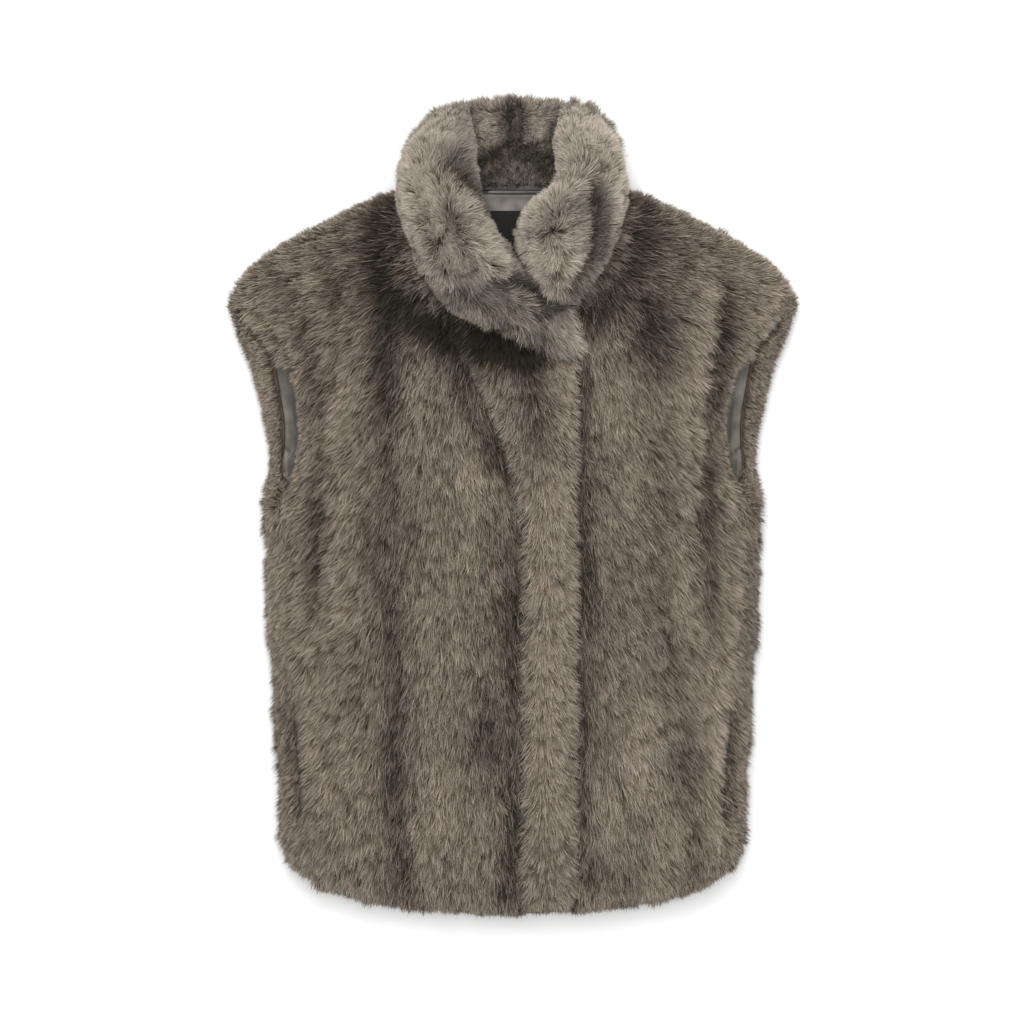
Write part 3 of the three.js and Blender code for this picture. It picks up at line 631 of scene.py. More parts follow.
inside_x, inside_y = row_point(inside_share * np.abs(back_roots[:, -1:, 0]), back_v[:, None])
inside_y[:, 0], inside_y[:, -1] = back_roots[:, -1, 1], back_roots[:, 0, 1]
back_inside = np.stack([inside_x, inside_y, np.full(inside_x.shape, BACK_TOP - PELT_CLEAR)], axis=2)
back_ring = np.concatenate([back_roots, back_inside], axis=1)
pelt_back = make_piece("pelt_back", back_ring, tube_faces(*back_ring.shape[:2]), underfur)

# The comb of the back: out and down along the folds, down the walls, up at the shoulders, and round a
# rosette at the foot of each armhole. Hair on the underside is sparse and grows only near the ends.
ROSETTE_X, ROSETTE_Y, ROSETTE_SIZE, ROSETTE_CORE = 220.0, 6.0, 26.0, 12.0
TURNED_REACH = 40.0
STEEP, UNDERSIDE = 0.45, -0.8
UNDER_SPARSE, UNDER_ENDS, UNDER_REACH, UNDER_LENGTH = 0.12, 0.9, 30.0, 0.7
BARE_FROM, BARE_SHARE = 45.0, 0.8
outward = np.sign(back_x)
lean = np.radians(36 + 9 * drift(back_x, back_y, 60, 50, 5) + 26 * smooth((back_y - 30) / 60))
at_hem, at_top = near(to_hem, TURNED_REACH), near(to_top, TURNED_REACH)
at_seam = smooth((np.abs(back_x) - (half - fold_inset) + 6) / 6)
rosette_x, rosette_y = back_x - ROSETTE_X * outward, back_y - ROSETTE_Y
rosette_reach = np.hypot(rosette_x, rosette_y)
rosette = np.exp(-((rosette_reach / ROSETTE_SIZE) ** 2))
flat_x = outward * np.sin(lean) * (1 - at_hem * 0.8) * mix(1.0, 0.4, 1 - at_seam)
flat_y = -np.cos(lean) * (1 - at_top) + at_top * 0.8
flat_x = mix(flat_x, rosette_x / (rosette_reach + ROSETTE_CORE) + 0.2 * outward, rosette)
flat_y = mix(flat_y, rosette_y / (rosette_reach + ROSETTE_CORE) - 0.2, rosette)
falling = np.stack(np.broadcast_arrays(0.3 * outward, -0.75, -0.5), axis=2)
down_wall = unit(falling - back_normals * np.sum(falling * back_normals, axis=2, keepdims=True))
steep = np.abs(back_normals[..., 2:3]) < STEEP
back_comb = np.where(steep, down_wall, combed(back_normals, flat_x, flat_y))
underneath = back_normals[..., 2] < UNDERSIDE
bare = underneath & (to_end > BARE_FROM) & (np.abs(back_x) < BARE_SHARE * half)
back_density = np.where(underneath, UNDER_SPARSE + UNDER_ENDS * near(to_end, UNDER_REACH), 1.0) * ~bare
back_length = np.interp(fold_height, BACK_PILE["height"], BACK_PILE["length"])
back_length = back_length * np.where(underneath, UNDER_LENGTH, 1.0)
back_tone = 0.5 + 0.10 * drift(back_x, back_y, 30, 70, 8) + 0.08 * drift(back_x, back_y, 12, 25, 9)
pile_back = grow_pile(
    "pile_back", back_roots, back_normals, back_comb, back_density, back_length, back_tone, body_pile,
    count=73000, seed=11, tuft=6.0, lift=(34, 8),
)
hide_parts("back")
for piece in (pelt_back, pile_back):
    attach(piece, "root")

# Lining. Taupe satin sewn inside the back, its edges in the slots of the folds. It shows in the neck and
# as a sliver in each armhole, where it lies in small creases and a facing strip is stitched to it.
LINING_BOTTOM, LINING_TOP = 12.3, 13.7
LINING_INSET = 15.4
LINING_ROWS = (0.035, 0.998)
LINING_CLEAR = 0.3
RIPPLE, CREASE_DEEPEST = 0.25, 1.1
MARK_LIMITS = (0.08, 1.5)
WEAVE_DEPTH = 0.0003
CREASES = [
    # width, depth, then the line from its top to its foot
    (3.5, 0.9, [(-205, 168), (-214, 120), (-211, 60), (-217, 20)]),
    (3.0, 0.8, [(-218, 96), (-209, 70), (-207, 46)]),
    (3.5, 0.9, [(206, 170), (215, 118), (212, 66), (217, 16)]),
    (2.5, 0.9, [(207, 62), (214, 44), (219, 30)]),
    (5.0, 0.8, [(-40, 300), (-12, 292), (20, 296), (44, 290)]),
    (4.0, 0.9, [(-22, 240), (4, 232), (26, 238)]),
]
LINING_SEAM_AND_PAINTED_LIGHT = [
    # width, brightening, then the line: a dark diagonal seam at each armhole, painted highlights on its
    # piping edge and on a crease at the neck, painted shade in the pit at each armhole's foot, down the
    # armholes and in small creases, and painted shadow beside the fronts' fur, where it meets the back's
    # rim, beside the collar roll and under the hanging loop
    (1.2, -0.95, [(-223, 61), (-216, 56), (-207, 47)]),
    (1.2, -0.95, [(223, 61), (216, 56), (207, 47)]),
    (1.3, 0.40, [(-219, 56), (-218, 38), (-215, 20)]),
    (1.3, 0.40, [(219, 56), (218, 38), (217, 18)]),
    (4.5, -0.95, [(-214, 42), (-213, 16)]),
    (4.5, -0.95, [(214, 42), (214, 16)]),
    (5.0, -0.62, [(-216, 150), (-212, 120), (-208, 80), (-206, 36)]),
    (5.0, -0.62, [(216, 150), (212, 120), (208, 80), (206, 36)]),
    (12.0, -0.55, [(-236, 165), (-224, 132)]),
    (12.0, -0.55, [(236, 165), (224, 132)]),
    (8.0, -0.90, [(-2, 256), (4, 238), (22, 206)]),
    (16.0, -0.28, [(-226, 160), (-216, 90), (-214, 10)]),
    (16.0, -0.28, [(226, 160), (216, 90), (214, 10)]),
    (3.0, -0.30, [(-216, 108), (-210, 92)]),
    (3.0, -0.30, [(-215, 76), (-208, 64)]),
    (3.0, -0.30, [(216, 104), (210, 88)]),
    (3.0, -0.30, [(214, 80), (208, 66)]),
    (3.0, -0.30, [(-26, 300), (28, 300)]),
    (2.5, 0.18, [(-24, 296), (20, 293)]),
]


def streaks(table, x, y):
    """Lighter and darker streaks, mostly painted shade, shadow and highlights: the sum of bells across each
    line of a table.
    """
    total = np.zeros(x.shape)
    for width, lift, line in table:
        total += lift * np.exp(-((distance_to(curve_through(line, 20), x, y) / width) ** 2))
    return total


def mark_shade(piece, shade):
    """Stores on each point of a satin piece a factor on its colour there, which carries painted shade and
    highlights and the dark seams.
    """
    layer = piece.data.attributes.new("shade", "FLOAT", "POINT")
    layer.data.foreach_set("value", np.broadcast_to(shade, len(piece.data.vertices)).astype(np.float32))


lining_half = stations((0, 0.86, 9), (0.86, 1, 28))
lining_u = np.concatenate([-lining_half[:0:-1], lining_half])
lining_v = stations(
    (LINING_ROWS[0], 0.66, 16), (0.66, 0.695, 5), (0.695, 0.765, 30), (0.765, 0.86, 12),
    (0.86, LINING_ROWS[1], 16),
)
lining_reach, lining_side_y = row_side(lining_v)
lining_reach -= np.minimum(LINING_INSET, table_at(FOLD, "inset", lining_side_y) + LINING_CLEAR)
lining_x, lining_y = row_point(lining_u * lining_reach[:, None], lining_v[:, None])
ripple = RIPPLE * np.abs(drift(lining_x, lining_y, 9, 22, 31)) + troughs(CREASES, lining_x, lining_y, 20)
lining_top = np.stack([lining_x, lining_y, LINING_TOP - np.minimum(ripple, CREASE_DEEPEST)], axis=2)
lining_bottom = lining_top * [1, 1, 0] + [0, 0, LINING_BOTTOM]

# The weave of satin and label cloth: fine bands, straight across where Slant is 0 and diagonal where it is 1.
weave, weave_values = new_group(
    "fine_weave", dict.fromkeys(("Scale", "Distortion", "Slant"), "NodeSocketFloat"),
    "Height", "NodeSocketFloat",
)
weave_feeds = {label: weave_values.outputs[label] for label in ("Scale", "Distortion")}
weave_feeds["Vector"] = add_node(weave, "ShaderNodeTexCoord").outputs["Object"]
straight, slanted = (
    add_node(weave, "ShaderNodeTexWave", (), weave_feeds, bands_direction=bands).outputs["Fac"]
    for bands in ("X", "DIAGONAL")
)
weave_height = add_node(
    weave, "ShaderNodeMix", (), {"Factor": weave_values.outputs["Slant"], "A": straight, "B": slanted},
    data_type="FLOAT",
)
add_node(weave, "NodeGroupOutput", (), {"Height": weave_height.outputs["Result"]})


def woven_bump(tree, surface, strength, values):
    """Gives a material the fine weave's bump, at this strength."""
    bands = add_node(tree, "ShaderNodeGroup", values, node_tree=weave)
    bump = add_node(
        tree, "ShaderNodeBump", {"Strength": strength, "Distance": WEAVE_DEPTH},
        {"Height": bands.outputs["Height"]},
    )
    tree.links.new(bump.outputs["Normal"], surface.inputs["Normal"])


satin, satin_tree, satin_surface = new_finish("satin", {
    "Roughness": 0.34,
    "Specular IOR Level": 0.6,
    "Specular Tint": (1.0, 0.93, 0.84, 1.0),
    "Sheen Weight": 0.35,
})
# The satin's colour is painted shade and light of soft folds: a noise blended between a dark and a light
# taupe.
satin_fold_shading = add_node(
    satin_tree, "ShaderNodeTexNoise", {"Scale": 70.0, "Detail": 1.0},
    {"Vector": add_node(satin_tree, "ShaderNodeTexCoord").outputs["Object"]},
)
satin_tones = two_tones(
    satin_tree, satin_fold_shading.outputs["Fac"], 0.35, (0.070, 0.063, 0.054), 0.7, (0.160, 0.148, 0.130),
)
# Then it is scaled by the painted shade and highlights and the dark seams stored on each point.
satin_mark = add_node(satin_tree, "ShaderNodeAttribute", attribute_name="shade")
satin_marked = add_node(
    satin_tree, "ShaderNodeVectorMath", (), {0: satin_tones, "Scale": satin_mark.outputs["Fac"]},
    operation="SCALE",
)
satin_tree.links.new(satin_marked.outputs[0], satin_surface.inputs["Base Color"])
woven_bump(satin_tree, satin_surface, 0.12, {"Scale": 900.0, "Distortion": 1.5, "Slant": 0.0})
lining = make_piece("lining", *closed_wall(lining_top, lining_bottom), satin)
lining_shade = (1 + streaks(LINING_SEAM_AND_PAINTED_LIGHT, lining_x, lining_y)).clip(*MARK_LIMITS).ravel()
mark_shade(lining, np.tile(lining_shade, 2))
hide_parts("back_lining")
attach(lining, "root")

# Right front, on the viewer's left. One panel of the same long pile, combed down and outward from the
# band, with its hair lying almost level over the shoulder. Its side seam stays open at the pocket.
SEAM_GAP = 0.4
ARMHOLE_TOP = 196.0
ARMHOLE = {
    "y": [2, 15, 46, 104, 128, 158, 178, ARMHOLE_TOP],
    "inset": [24, 26, 27, 26.5, 20, 11, 5, 1],
}
BAND_LEFT = {"y": [-392, -203, -5, 75, 132, 169, 200], "x": [7, 9, 9, -12, -36, -55, -58]}
BAND_RIGHT = {"y": [-392, -203, -5, 75, 132, 169, 200], "x": [62, 64, 63, 65, 64, 62, 54]}
NECK_LEFT = {"y": [201, 212, 238, 262, 285, 308], "x": [-57, -22, -28, -40, -62, -112]}
BAND_END = 200.0
UNDERARM_V = 0.66
UNDERLAP_TOP = 21.7
PILE_DEPTH = 6.5
ARMHOLE_PILE = 4.5
PELT_THIN = 1.2
DEPTH_REACH = 22.0
UNDERLAP_PILE = 2.5
FOLD_PAINTED_SHADE = 0.044
SHOULDER_PAINTED_HIGHLIGHT, HIGHLIGHT_REACH = 0.18, 16.0
RIGHT_HEADINGS = {
    # degrees from straight down towards the viewer's right, by rows up the panel and columns across it
    "x": [-250, -200, -150, -100, -50, 0],
    "y": [-390, -340, -200, -60, 40, 120, 190, 250, 300],
    "turn": [
        [-14, -12, -10, -5, 0, 2],
        [-28, -26, -20, -8, 0, 2],
        [-38, -36, -30, -10, 2, 4],
        [-44, -42, -34, -8, 4, 10],
        [-50, -46, -38, -10, 10, 26],
        [-58, -50, -42, -24, -6, 12],
        [-68, -62, -56, -46, -28, -14],
        [-84, -84, -80, -72, -58, -50],
        [-100, -104, -108, -104, -90, -90],
    ],
}
RIGHT_PAINTED_LIGHT_AND_TONE = [
    # width, lightening, then the line: painted shadow under the collar roll and at the armhole's top,
    # painted shade along the folds and beside the lapel and the band, painted highlights where the pile
    # turns to the light, and broad streaks of the pile's own uneven tone
    (17, -0.50, [(-114, 290), (-116, 240), (-92, 192), (-54, 168), (-10, 156), (14, 154)]),
    (13, -0.26, [(-124, 215), (-116, 160), (-110, 100)]),
    (10, -0.30, [(-54, 146), (-36, 95), (-6, 44)]),
    (9, -0.30, [(-209, 219), (-194, 171), (-187, 133), (-190, 95)]),
    (9, -0.13, [(-182, 18), (-181, -20), (-182, -62)]),
    (11, -0.18, [
        (-132, -6), (-127, -54), (-115, -90), (-114, -174), (-115, -270), (-103, -333), (-91, -372),
    ]),
    (8, -0.28, [(2, 10), (1, -54), (-1, -126), (-3, -222), (-2, -300), (-12, -366)]),
    (15, -0.20, [(-31, -160), (-26, -217)]),
    (11, 0.26, [(-178, 224), (-166, 186), (-161, 114), (-170, 66)]),
    (13, 0.16, [(-167, 20), (-168, -40), (-160, -95)]),
    (22, 0.16, [(-185, -136), (-190, -222), (-160, -292)]),
    (12, 0.22, [(-46, 44), (-30, 32), (-8, 2)]),
    (26, 0.14, [(-74, -250), (-72, -290)]),
    (9, 0.18, [(-232, 156), (-216, 104)]),
    (18, 0.24, [(-266, 206), (-252, 186)]),
    (9, -0.55, [(-90, 206), (-72, 184), (-42, 166), (8, 150)]),
    (38, -0.16, [(-150, 250), (-130, 180)]),
    (8, -0.45, [(-266, 182), (-250, 154), (-238, 132)]),
    (40, -0.05, [(-90, 40), (-90, -260)]),
]


def front_inset(v):
    """How far a front's side edge lies inside the outline: the fold's seam, then round the armhole."""
    y = row_side(v)[1]
    return table_at(ARMHOLE, "inset", y) + SEAM_GAP * (y < ARMHOLE_TOP - 20) + POCKET["gap"] * pocket_mouth(y)


def side_edge(side, start, end):
    """A front's side edge between two rows, as a polyline."""
    v = np.linspace(start, end, 40)
    return np.column_stack(row_point(side * (row_side(v)[0] - front_inset(v)), v))


def heading(table, x, y):
    """The comb's direction in plan from a table of headings, read by straight lines both ways."""
    rows = np.array([np.interp(x.ravel(), table["x"], row) for row in table["turn"]])
    place = np.interp(y.ravel(), table["y"], np.arange(len(rows)))
    low = np.minimum(place.astype(int), len(rows) - 2)
    turn = mix(rows[low, np.arange(x.size)], rows[low + 1, np.arange(x.size)], place - low).reshape(x.shape)
    turn = np.radians(turn + 9 * drift(x, y, 34, 46, 3) + 6 * drift(x, y, 15, 20, 4))
    return np.sin(turn), -np.cos(turn)


def mottle(x, y):
    """Uneven tone of the pile, in drifts longer down the panel than across."""
    return 0.5 + 0.09 * drift(x, y, 26, 70, 8) + 0.04 * drift(x, y, 9, 24, 9)


def furred_panel(x, y, open_line, seam_line, inner_distance):
    """The height of a furred panel's top, and how far from an open edge each point is."""
    open_distance = np.minimum.reduce([distance_to(line, x, y) for line in (hem_line, top_line, open_line)])
    sunk = np.maximum.reduce([
        sink(open_distance, FRONT_ROLL, FRONT_RIM),
        sink(distance_to(seam_line, x, y), SEAM_ROLL, 1.0) * seam_dip(y),
        sink(inner_distance, SEAM_ROLL, SEAM_DIP),
        body_troughs(x, y),
    ])
    return FRONT_TOP - sunk, open_distance


FRINGE = {"y": [10, 50, 95, 128, 152], "extra": [-7.0, -5.0, -3.5, -2.5, 6.0]}
FRINGE_REACH, SHOULDER_KEPT = 12.0, 20.0
HEM_LONGER, HEM_RAGGED, HEM_REACH = 2.4, 4.6, 18.0
FRONT_HAIR, FULL_HAIR_FROM = (9.5, 20.0), 36.0


def hair_length(x, y, open_distance, armhole):
    """Hair length on the fronts: shorter towards the hem and shoulder, and a ragged fringe at the armhole."""
    below_shoulder = smooth(distance_to(top_line, x, y) / SHOULDER_KEPT)
    fringe = table_at(FRINGE, "extra", y) * near(distance_to(armhole, x, y), FRINGE_REACH) * below_shoulder
    ragged = HEM_LONGER + HEM_RAGGED * drift(x, 0 * y, 11, 12, 92)
    hem_wave = ragged * near(distance_to(hem_line, x, y), HEM_REACH)
    return mix(*FRONT_HAIR, smooth(open_distance / FULL_HAIR_FROM)) + fringe + hem_wave


def under_pile(skin, depth, least):
    """The pelt's surface: the panel's outside moved in along its normal by the pile's depth."""
    moved = skin - normals_of(skin) * depth[..., None]
    moved[..., 2] = np.maximum(moved[..., 2], least)
    return moved


HEM_TURNED, SHOULDER_TURNED, ARMHOLE_TURNED = 34.0, 22.0, 14.0
ARMHOLE_HANG = (0.5, 0.85)


def front_comb(table, skin, normals, side, armhole):
    """The fronts' comb: the table's headings, turned out over the armhole, up at the shoulder seam and
    straight down over the hem."""
    x, y = skin[..., 0], skin[..., 1]
    flat_x, flat_y = heading(table, x, y)
    over_hem = near(distance_to(hem_line, x, y), HEM_TURNED)
    at_seam = near(distance_to(top_line, x, y), SHOULDER_TURNED)
    flat_x = mix(mix(flat_x, 0.1 * flat_x, over_hem), 0.75 * side, at_seam)
    flat_y = mix(mix(flat_y, -1.0, over_hem), 0.65, at_seam)
    below_shoulder = smooth(distance_to(top_line, x, y) / SHOULDER_KEPT)
    at_armhole = near(distance_to(armhole, x, y), ARMHOLE_TURNED) * below_shoulder
    hang = mix(*ARMHOLE_HANG, smooth((y - 95) / 55)) * at_armhole
    return mix(combed(normals, flat_x, flat_y), np.array([0.85 * side, -0.5, -0.15]), hang[..., None])


def sew_front(name, side, x, y, inner_distance, lapped, headings, streak_table, count, seed):
    """One front's pelt and pile. The side is -1 on the viewer's left and 1 on the viewer's right. Where the
    panel is lapped it runs on under the band, thinner and without hair."""
    armhole, side_seam = side_edge(side, UNDERARM_V, 1), side_edge(side, 0, UNDERARM_V)
    z, open_distance = furred_panel(x, y, armhole, side_seam, inner_distance)
    skin = np.stack([x, y, z], axis=2)
    normals = normals_of(skin)
    depth = mix(ARMHOLE_PILE, PILE_DEPTH, smooth(open_distance / DEPTH_REACH))
    roots = under_pile(skin, depth, FRONT_BOTTOM + PELT_THIN)
    roots[..., 2] = np.where(lapped, np.minimum(roots[..., 2], UNDERLAP_TOP - UNDERLAP_PILE), roots[..., 2])
    under = roots * [1, 1, 0] + [0, 0, FRONT_BOTTOM]
    pelt = make_piece("pelt_" + name, *closed_wall(roots, under), underfur)
    # Painted shade in the folds and the table's painted shadow, shade and highlights, over the pile's own
    # uneven tone.
    tone = mottle(x, y) - FOLD_PAINTED_SHADE * body_troughs(x, y) + streaks(streak_table, x, y)
    # A painted highlight along the shoulder rim, where the pile turns to the light.
    tone += SHOULDER_PAINTED_HIGHLIGHT * near(distance_to(top_line, x, y), HIGHLIGHT_REACH)
    pile = grow_pile(
        "pile_" + name, roots, normals, front_comb(headings, skin, normals, side, armhole),
        np.where(lapped, 0.0, 1.0), hair_length(x, y, open_distance, armhole), tone, body_pile,
        count=count, seed=seed,
    )
    return pelt, pile


panel_v = stations((0, 0.03, 5), (0.03, 0.97, 66), (0.97, 1, 5))
panel_u = stations((0, 0.08, 5), (0.08, 0.95, 26), (0.95, 1, 4))
panel_side = row_side(panel_v)[0] - front_inset(panel_v)
middle_y = laid_point(np.full(panel_v.shape, 0.5), panel_v)[1]
right_inner = np.where(
    middle_y < BAND_END + 1, table_at(BAND_LEFT, "x", middle_y), table_at(NECK_LEFT, "x", middle_y),
) - SEAM_GAP
right_x, right_y = row_point(mix(-panel_side[:, None], right_inner[:, None], panel_u), panel_v[:, None])
right_line = np.column_stack(row_point(right_inner, panel_v))
pelt_right, pile_right = sew_front(
    "front_right", -1, right_x, right_y, distance_to(right_line, right_x, right_y),
    np.zeros(right_x.shape, bool), RIGHT_HEADINGS, RIGHT_PAINTED_LIGHT_AND_TONE, count=98000, seed=12,
)
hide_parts("front_right")
for piece in (pelt_right, pile_right):
    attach(piece, "root")

# Left front, on the viewer's right. The same panel the other way round. Its inner edge is thinner, where
# it runs on under the band to carry the closure.
UNDERLAP_LEAST = 1.5
NECK_RIGHT = {"y": [204, 226, 255, 273, 290, 308], "x": [15, 31, 31, 45, 74, 112]}
LEFT_HEADINGS = {
    # degrees from straight down towards the viewer's right
    "x": [64, 110, 150, 200, 250],
    "y": [-390, -340, -200, -60, 40, 120, 190, 250, 300],
    "turn": [
        [0, 4, 8, 12, 14],
        [8, 14, 20, 26, 28],
        [14, 22, 30, 36, 38],
        [18, 28, 36, 42, 44],
        [14, 26, 38, 46, 50],
        [8, 24, 40, 50, 58],
        [10, 36, 54, 62, 68],
        [40, 62, 76, 84, 84],
        [90, 100, 104, 104, 100],
    ],
}
LEFT_PAINTED_LIGHT_AND_TONE = [
    # width, lightening, then the line: painted shadow under the collar roll and at the armhole's top,
    # painted shade along the folds and beside the band, painted highlights where the pile turns to the
    # light, and broad streaks of the pile's own uneven tone
    (15, -0.42, [(120, 291), (108, 246), (82, 204), (62, 194)]),
    (14, -0.24, [(126, 200), (138, 150)]),
    (9, -0.28, [(200, 192), (196, 150), (193, 108)]),
    (9, -0.13, [(182, 20), (184, -40), (194, -85)]),
    (7, -0.28, [(67, 150), (68, 0), (71, -120), (68, -260), (74, -350)]),
    (18, -0.14, [(78, -20), (76, -90)]),
    (18, -0.12, [(166, -236), (160, -262)]),
    (16, -0.14, [(84, -330), (104, -352)]),
    (12, 0.24, [(177, 216), (171, 150), (166, 86)]),
    (15, 0.18, [(119, -180), (112, -252)]),
    (13, 0.14, [(84, -272), (90, -292)]),
    (12, 0.12, [(144, -26), (170, -104)]),
    (9, 0.20, [(205, 26), (207, -4)]),
    (9, 0.16, [(203, -66), (201, -94)]),
    (10, 0.16, [(194, -204), (196, -242)]),
    (9, 0.18, [(230, 160), (214, 106)]),
    (18, 0.24, [(266, 206), (252, 186)]),
    (38, -0.20, [(140, 250), (122, 190)]),
    (8, -0.45, [(266, 182), (250, 154), (238, 132)]),
    (46, 0.07, [(150, 60), (170, -120), (160, -300)]),
    (22, 0.22, [(212, -60), (206, -130), (200, -300)]),
]
left_inner = table_at(NECK_RIGHT, "x", middle_y)
lap = np.maximum(left_inner + UNDERLAP_LEAST, table_at(BAND_RIGHT, "x", middle_y) + SEAM_GAP)[:, None]
left_u = np.concatenate([np.linspace(-1, -0.06, 5), [-0.03, 0.0], 1 - panel_u[::-1][1:]])
left_place = mix(lap, panel_side[:, None], left_u.clip(0, None))
left_place += left_u.clip(None, 0) * (lap - left_inner[:, None])
left_x, left_y = row_point(left_place, panel_v[:, None])
lapped = (left_x < lap - 0.01) & (middle_y[:, None] < BAND_END + 2)
pelt_left, pile_left = sew_front(
    "front_left", 1, left_x, left_y, np.maximum(left_x - lap, 0),
    lapped, LEFT_HEADINGS, LEFT_PAINTED_LIGHT_AND_TONE, count=90000, seed=13,
)
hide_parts("front_left")
for piece in (pelt_left, pile_left):
    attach(piece, "root")

# Front band. A strip of the same fur that laps over the left front from the collar to the hem. Its pile
# is parted down the middle and combed down to both edges.
BAND_BOTTOM, BAND_TOP = 22.4, 37.0
BAND_PART, PART_WIDTH, PART_DARKER = 0.42, 0.05, 0.10
BAND_TURN, TURN_SHARPNESS = 38.0, 5.5
BAND_ROLL = 14.0
LEFT_SINK, RIGHT_SINK = (9.0, 2.0), (11.0, 4.0)
COVERED_FROM, COVERED_EASE = 126.0, 28.0
BAND_HAIR = (8.5, 17.0)
RIGHT_EDGE_PAINTED_SHADE, RIGHT_EDGE_SHARE = 0.22, 0.12
BAND_PAINTED_LIGHT_AND_TONE = [
    # width, lightening, then the line: painted shadow under the collar roll, painted shade along the
    # folds and the band's left edge, and painted highlights down the band
    (13, -0.66, [(-56, 172), (-14, 157), (14, 150)]),
    (14, -0.50, [(-60, 196), (-30, 178), (6, 166)]),
    (16, -0.16, [(-30, 140), (0, 110)]),
    (9, -0.28, [(16, 146), (22, 74)]),
    (7, -0.26, [(8, 20), (10, -120), (8, -300), (4, -370)]),
    (16, 0.16, [(27, 37), (36, -30), (32, -150), (31, -290)]),
    (9, 0.20, [(51, 165), (52, 88)]),
    (8, 0.12, [(-28, 134), (4, 84)]),
]
BAND_PILE = 8.5
band_end_v = np.interp(BAND_END, middle_y, panel_v)
band_v = stations((0, 0.03, 5), (0.03, band_end_v, 66))
band_u = stations((0, 0.25, 6), (0.25, 0.75, 6), (0.75, 1, 6))
band_middle = laid_point(np.full(band_v.shape, 0.5), band_v)[1][:, None]
band_left, band_right = table_at(BAND_LEFT, "x", band_middle), table_at(BAND_RIGHT, "x", band_middle)
band_x, band_y = row_point(mix(band_left, band_right, band_u), band_v[:, None])
covered = smooth((band_y - COVERED_FROM) / COVERED_EASE)
from_left, from_right = band_x - table_at(BAND_LEFT, "x", band_y), table_at(BAND_RIGHT, "x", band_y) - band_x
band_sunk = np.maximum.reduce([
    sink(distance_to(hem_line, band_x, band_y), FRONT_ROLL, FRONT_RIM - 3),
    sink(from_left, mix(BAND_ROLL, SEAM_ROLL, covered), mix(*LEFT_SINK, covered)),
    sink(from_right, BAND_ROLL, mix(*RIGHT_SINK, covered)),
    body_troughs(band_x, band_y),
])
band_skin = np.stack([band_x, band_y, mix(BAND_TOP, FRONT_TOP - 0.6, covered) - band_sunk], axis=2)
band_roots = under_pile(band_skin, np.full(band_x.shape, BAND_PILE), BAND_BOTTOM + 0.8)
band_step = np.interp(band_v, panel_v, left_inner)[:, None] - SEAM_GAP
band_under = band_roots.copy()
band_under[..., 2] = np.where(band_x < band_step, FRONT_BOTTOM + SEAM_GAP, BAND_BOTTOM)
pelt_band = make_piece("pelt_front_band", *closed_wall(band_roots, band_under), underfur)
band_normals = normals_of(band_skin)
parting = band_u - BAND_PART + 0.05 * drift(band_x * 0, band_y, 20, 55, 21)
band_turn = np.radians(BAND_TURN * np.tanh(parting * TURN_SHARPNESS) + 6 * drift(band_x, band_y, 14, 22, 22))
band_to_hem = distance_to(hem_line, band_x, band_y)
band_comb = combed(band_normals, np.sin(band_turn) * (1 - 0.6 * near(band_to_hem, 30)), -np.cos(band_turn))
band_tone = mottle(band_x, band_y) + streaks(BAND_PAINTED_LIGHT_AND_TONE, band_x, band_y)
band_tone -= PART_DARKER * np.exp(-((parting / PART_WIDTH) ** 2))
# Painted shade along the band's right edge, where it rolls down to the front.
band_tone = band_tone - RIGHT_EDGE_PAINTED_SHADE * near(1 - band_u, RIGHT_EDGE_SHARE)
band_length = mix(*BAND_HAIR, smooth(band_to_hem / FULL_HAIR_FROM))
pile_band = grow_pile(
    "pile_front_band", band_roots, band_normals, band_comb, np.ones(band_x.shape), band_length, band_tone,
    body_pile, count=48000, seed=14, tuft=6.0,
)
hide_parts("front_band")
for piece in (pelt_band, pile_band):
    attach(piece, "root")

# Collar back. The stand and fall behind the neck in a lighter, longer pile, doubled over its top edge
# and creased down the middle where it turns over.
COLLAR_BACK_EDGE = [
    (-105, 344), (-92, 366), (-72, 383), (-42, 391), (2, 395), (46, 391), (76, 386), (95, 368), (107, 344),
]
COLLAR_SEAM_Y = 308.35
NAPE_MIDDLE = 1.0
NAPE_ROLL, NAPE_RIM, NAPE_SEAM = 16.0, 12.0, 10.0
NAPE_PILE, NAPE_LEAST, NAPE_WALL = 6.0, 13.0, 1.5
NAPE_HAIR, NAPE_RIM_HAIR = (7.0, 10.5), 5.5
NAPE_TONE = 0.26
CREASE_WIDTH, CREASE_BARE = 2.4, 0.95
COLLAR_BACK_FOLDS = [
    (4, 6, [(0, 410), (1, 372), (2, 343)]),
    (5, 7, [(2, 345), (-12, 338), (-30, 320)]),
    (5, 7, [(2, 345), (16, 340), (36, 328)]),
]
collar_pile = fur_finish(
    "collar_pile", root=(0.050, 0.038, 0.028), shaft=(0.160, 0.134, 0.106), tip=(0.462, 0.416, 0.354),
    contrast=1.6,
)
NAPE_CREASES = [
    [(0, 394), (2, 345)],
    [(2, 345), (-12, 338), (-30, 320)],
    [(2, 345), (16, 340), (36, 326)],
]
NAPE_PAINTED_LIGHT_AND_TONE = [
    # width, lightening, then the line: painted shade in the Y-shaped crease, painted shadow beside the
    # two rolls, painted highlights on the lobes between, and a darker band low in the middle
    (2.4, -0.52, [(1, 384), (2, 345)]),
    (3.2, -0.60, [(2, 345), (-12, 338), (-30, 320)]),
    (3.2, -0.60, [(2, 345), (16, 340), (36, 326)]),
    (8, -0.36, [(-36, 374), (-38, 350), (-32, 322)]),
    (8, -0.36, [(36, 368), (34, 348), (37, 326)]),
    (10, 0.24, [(-17, 352), (-18, 378)]),
    (10, 0.24, [(18, 356), (18, 378)]),
    (15, -0.24, [(-18, 322), (18, 322)]),
]
collar_edge = curve_through(COLLAR_BACK_EDGE)
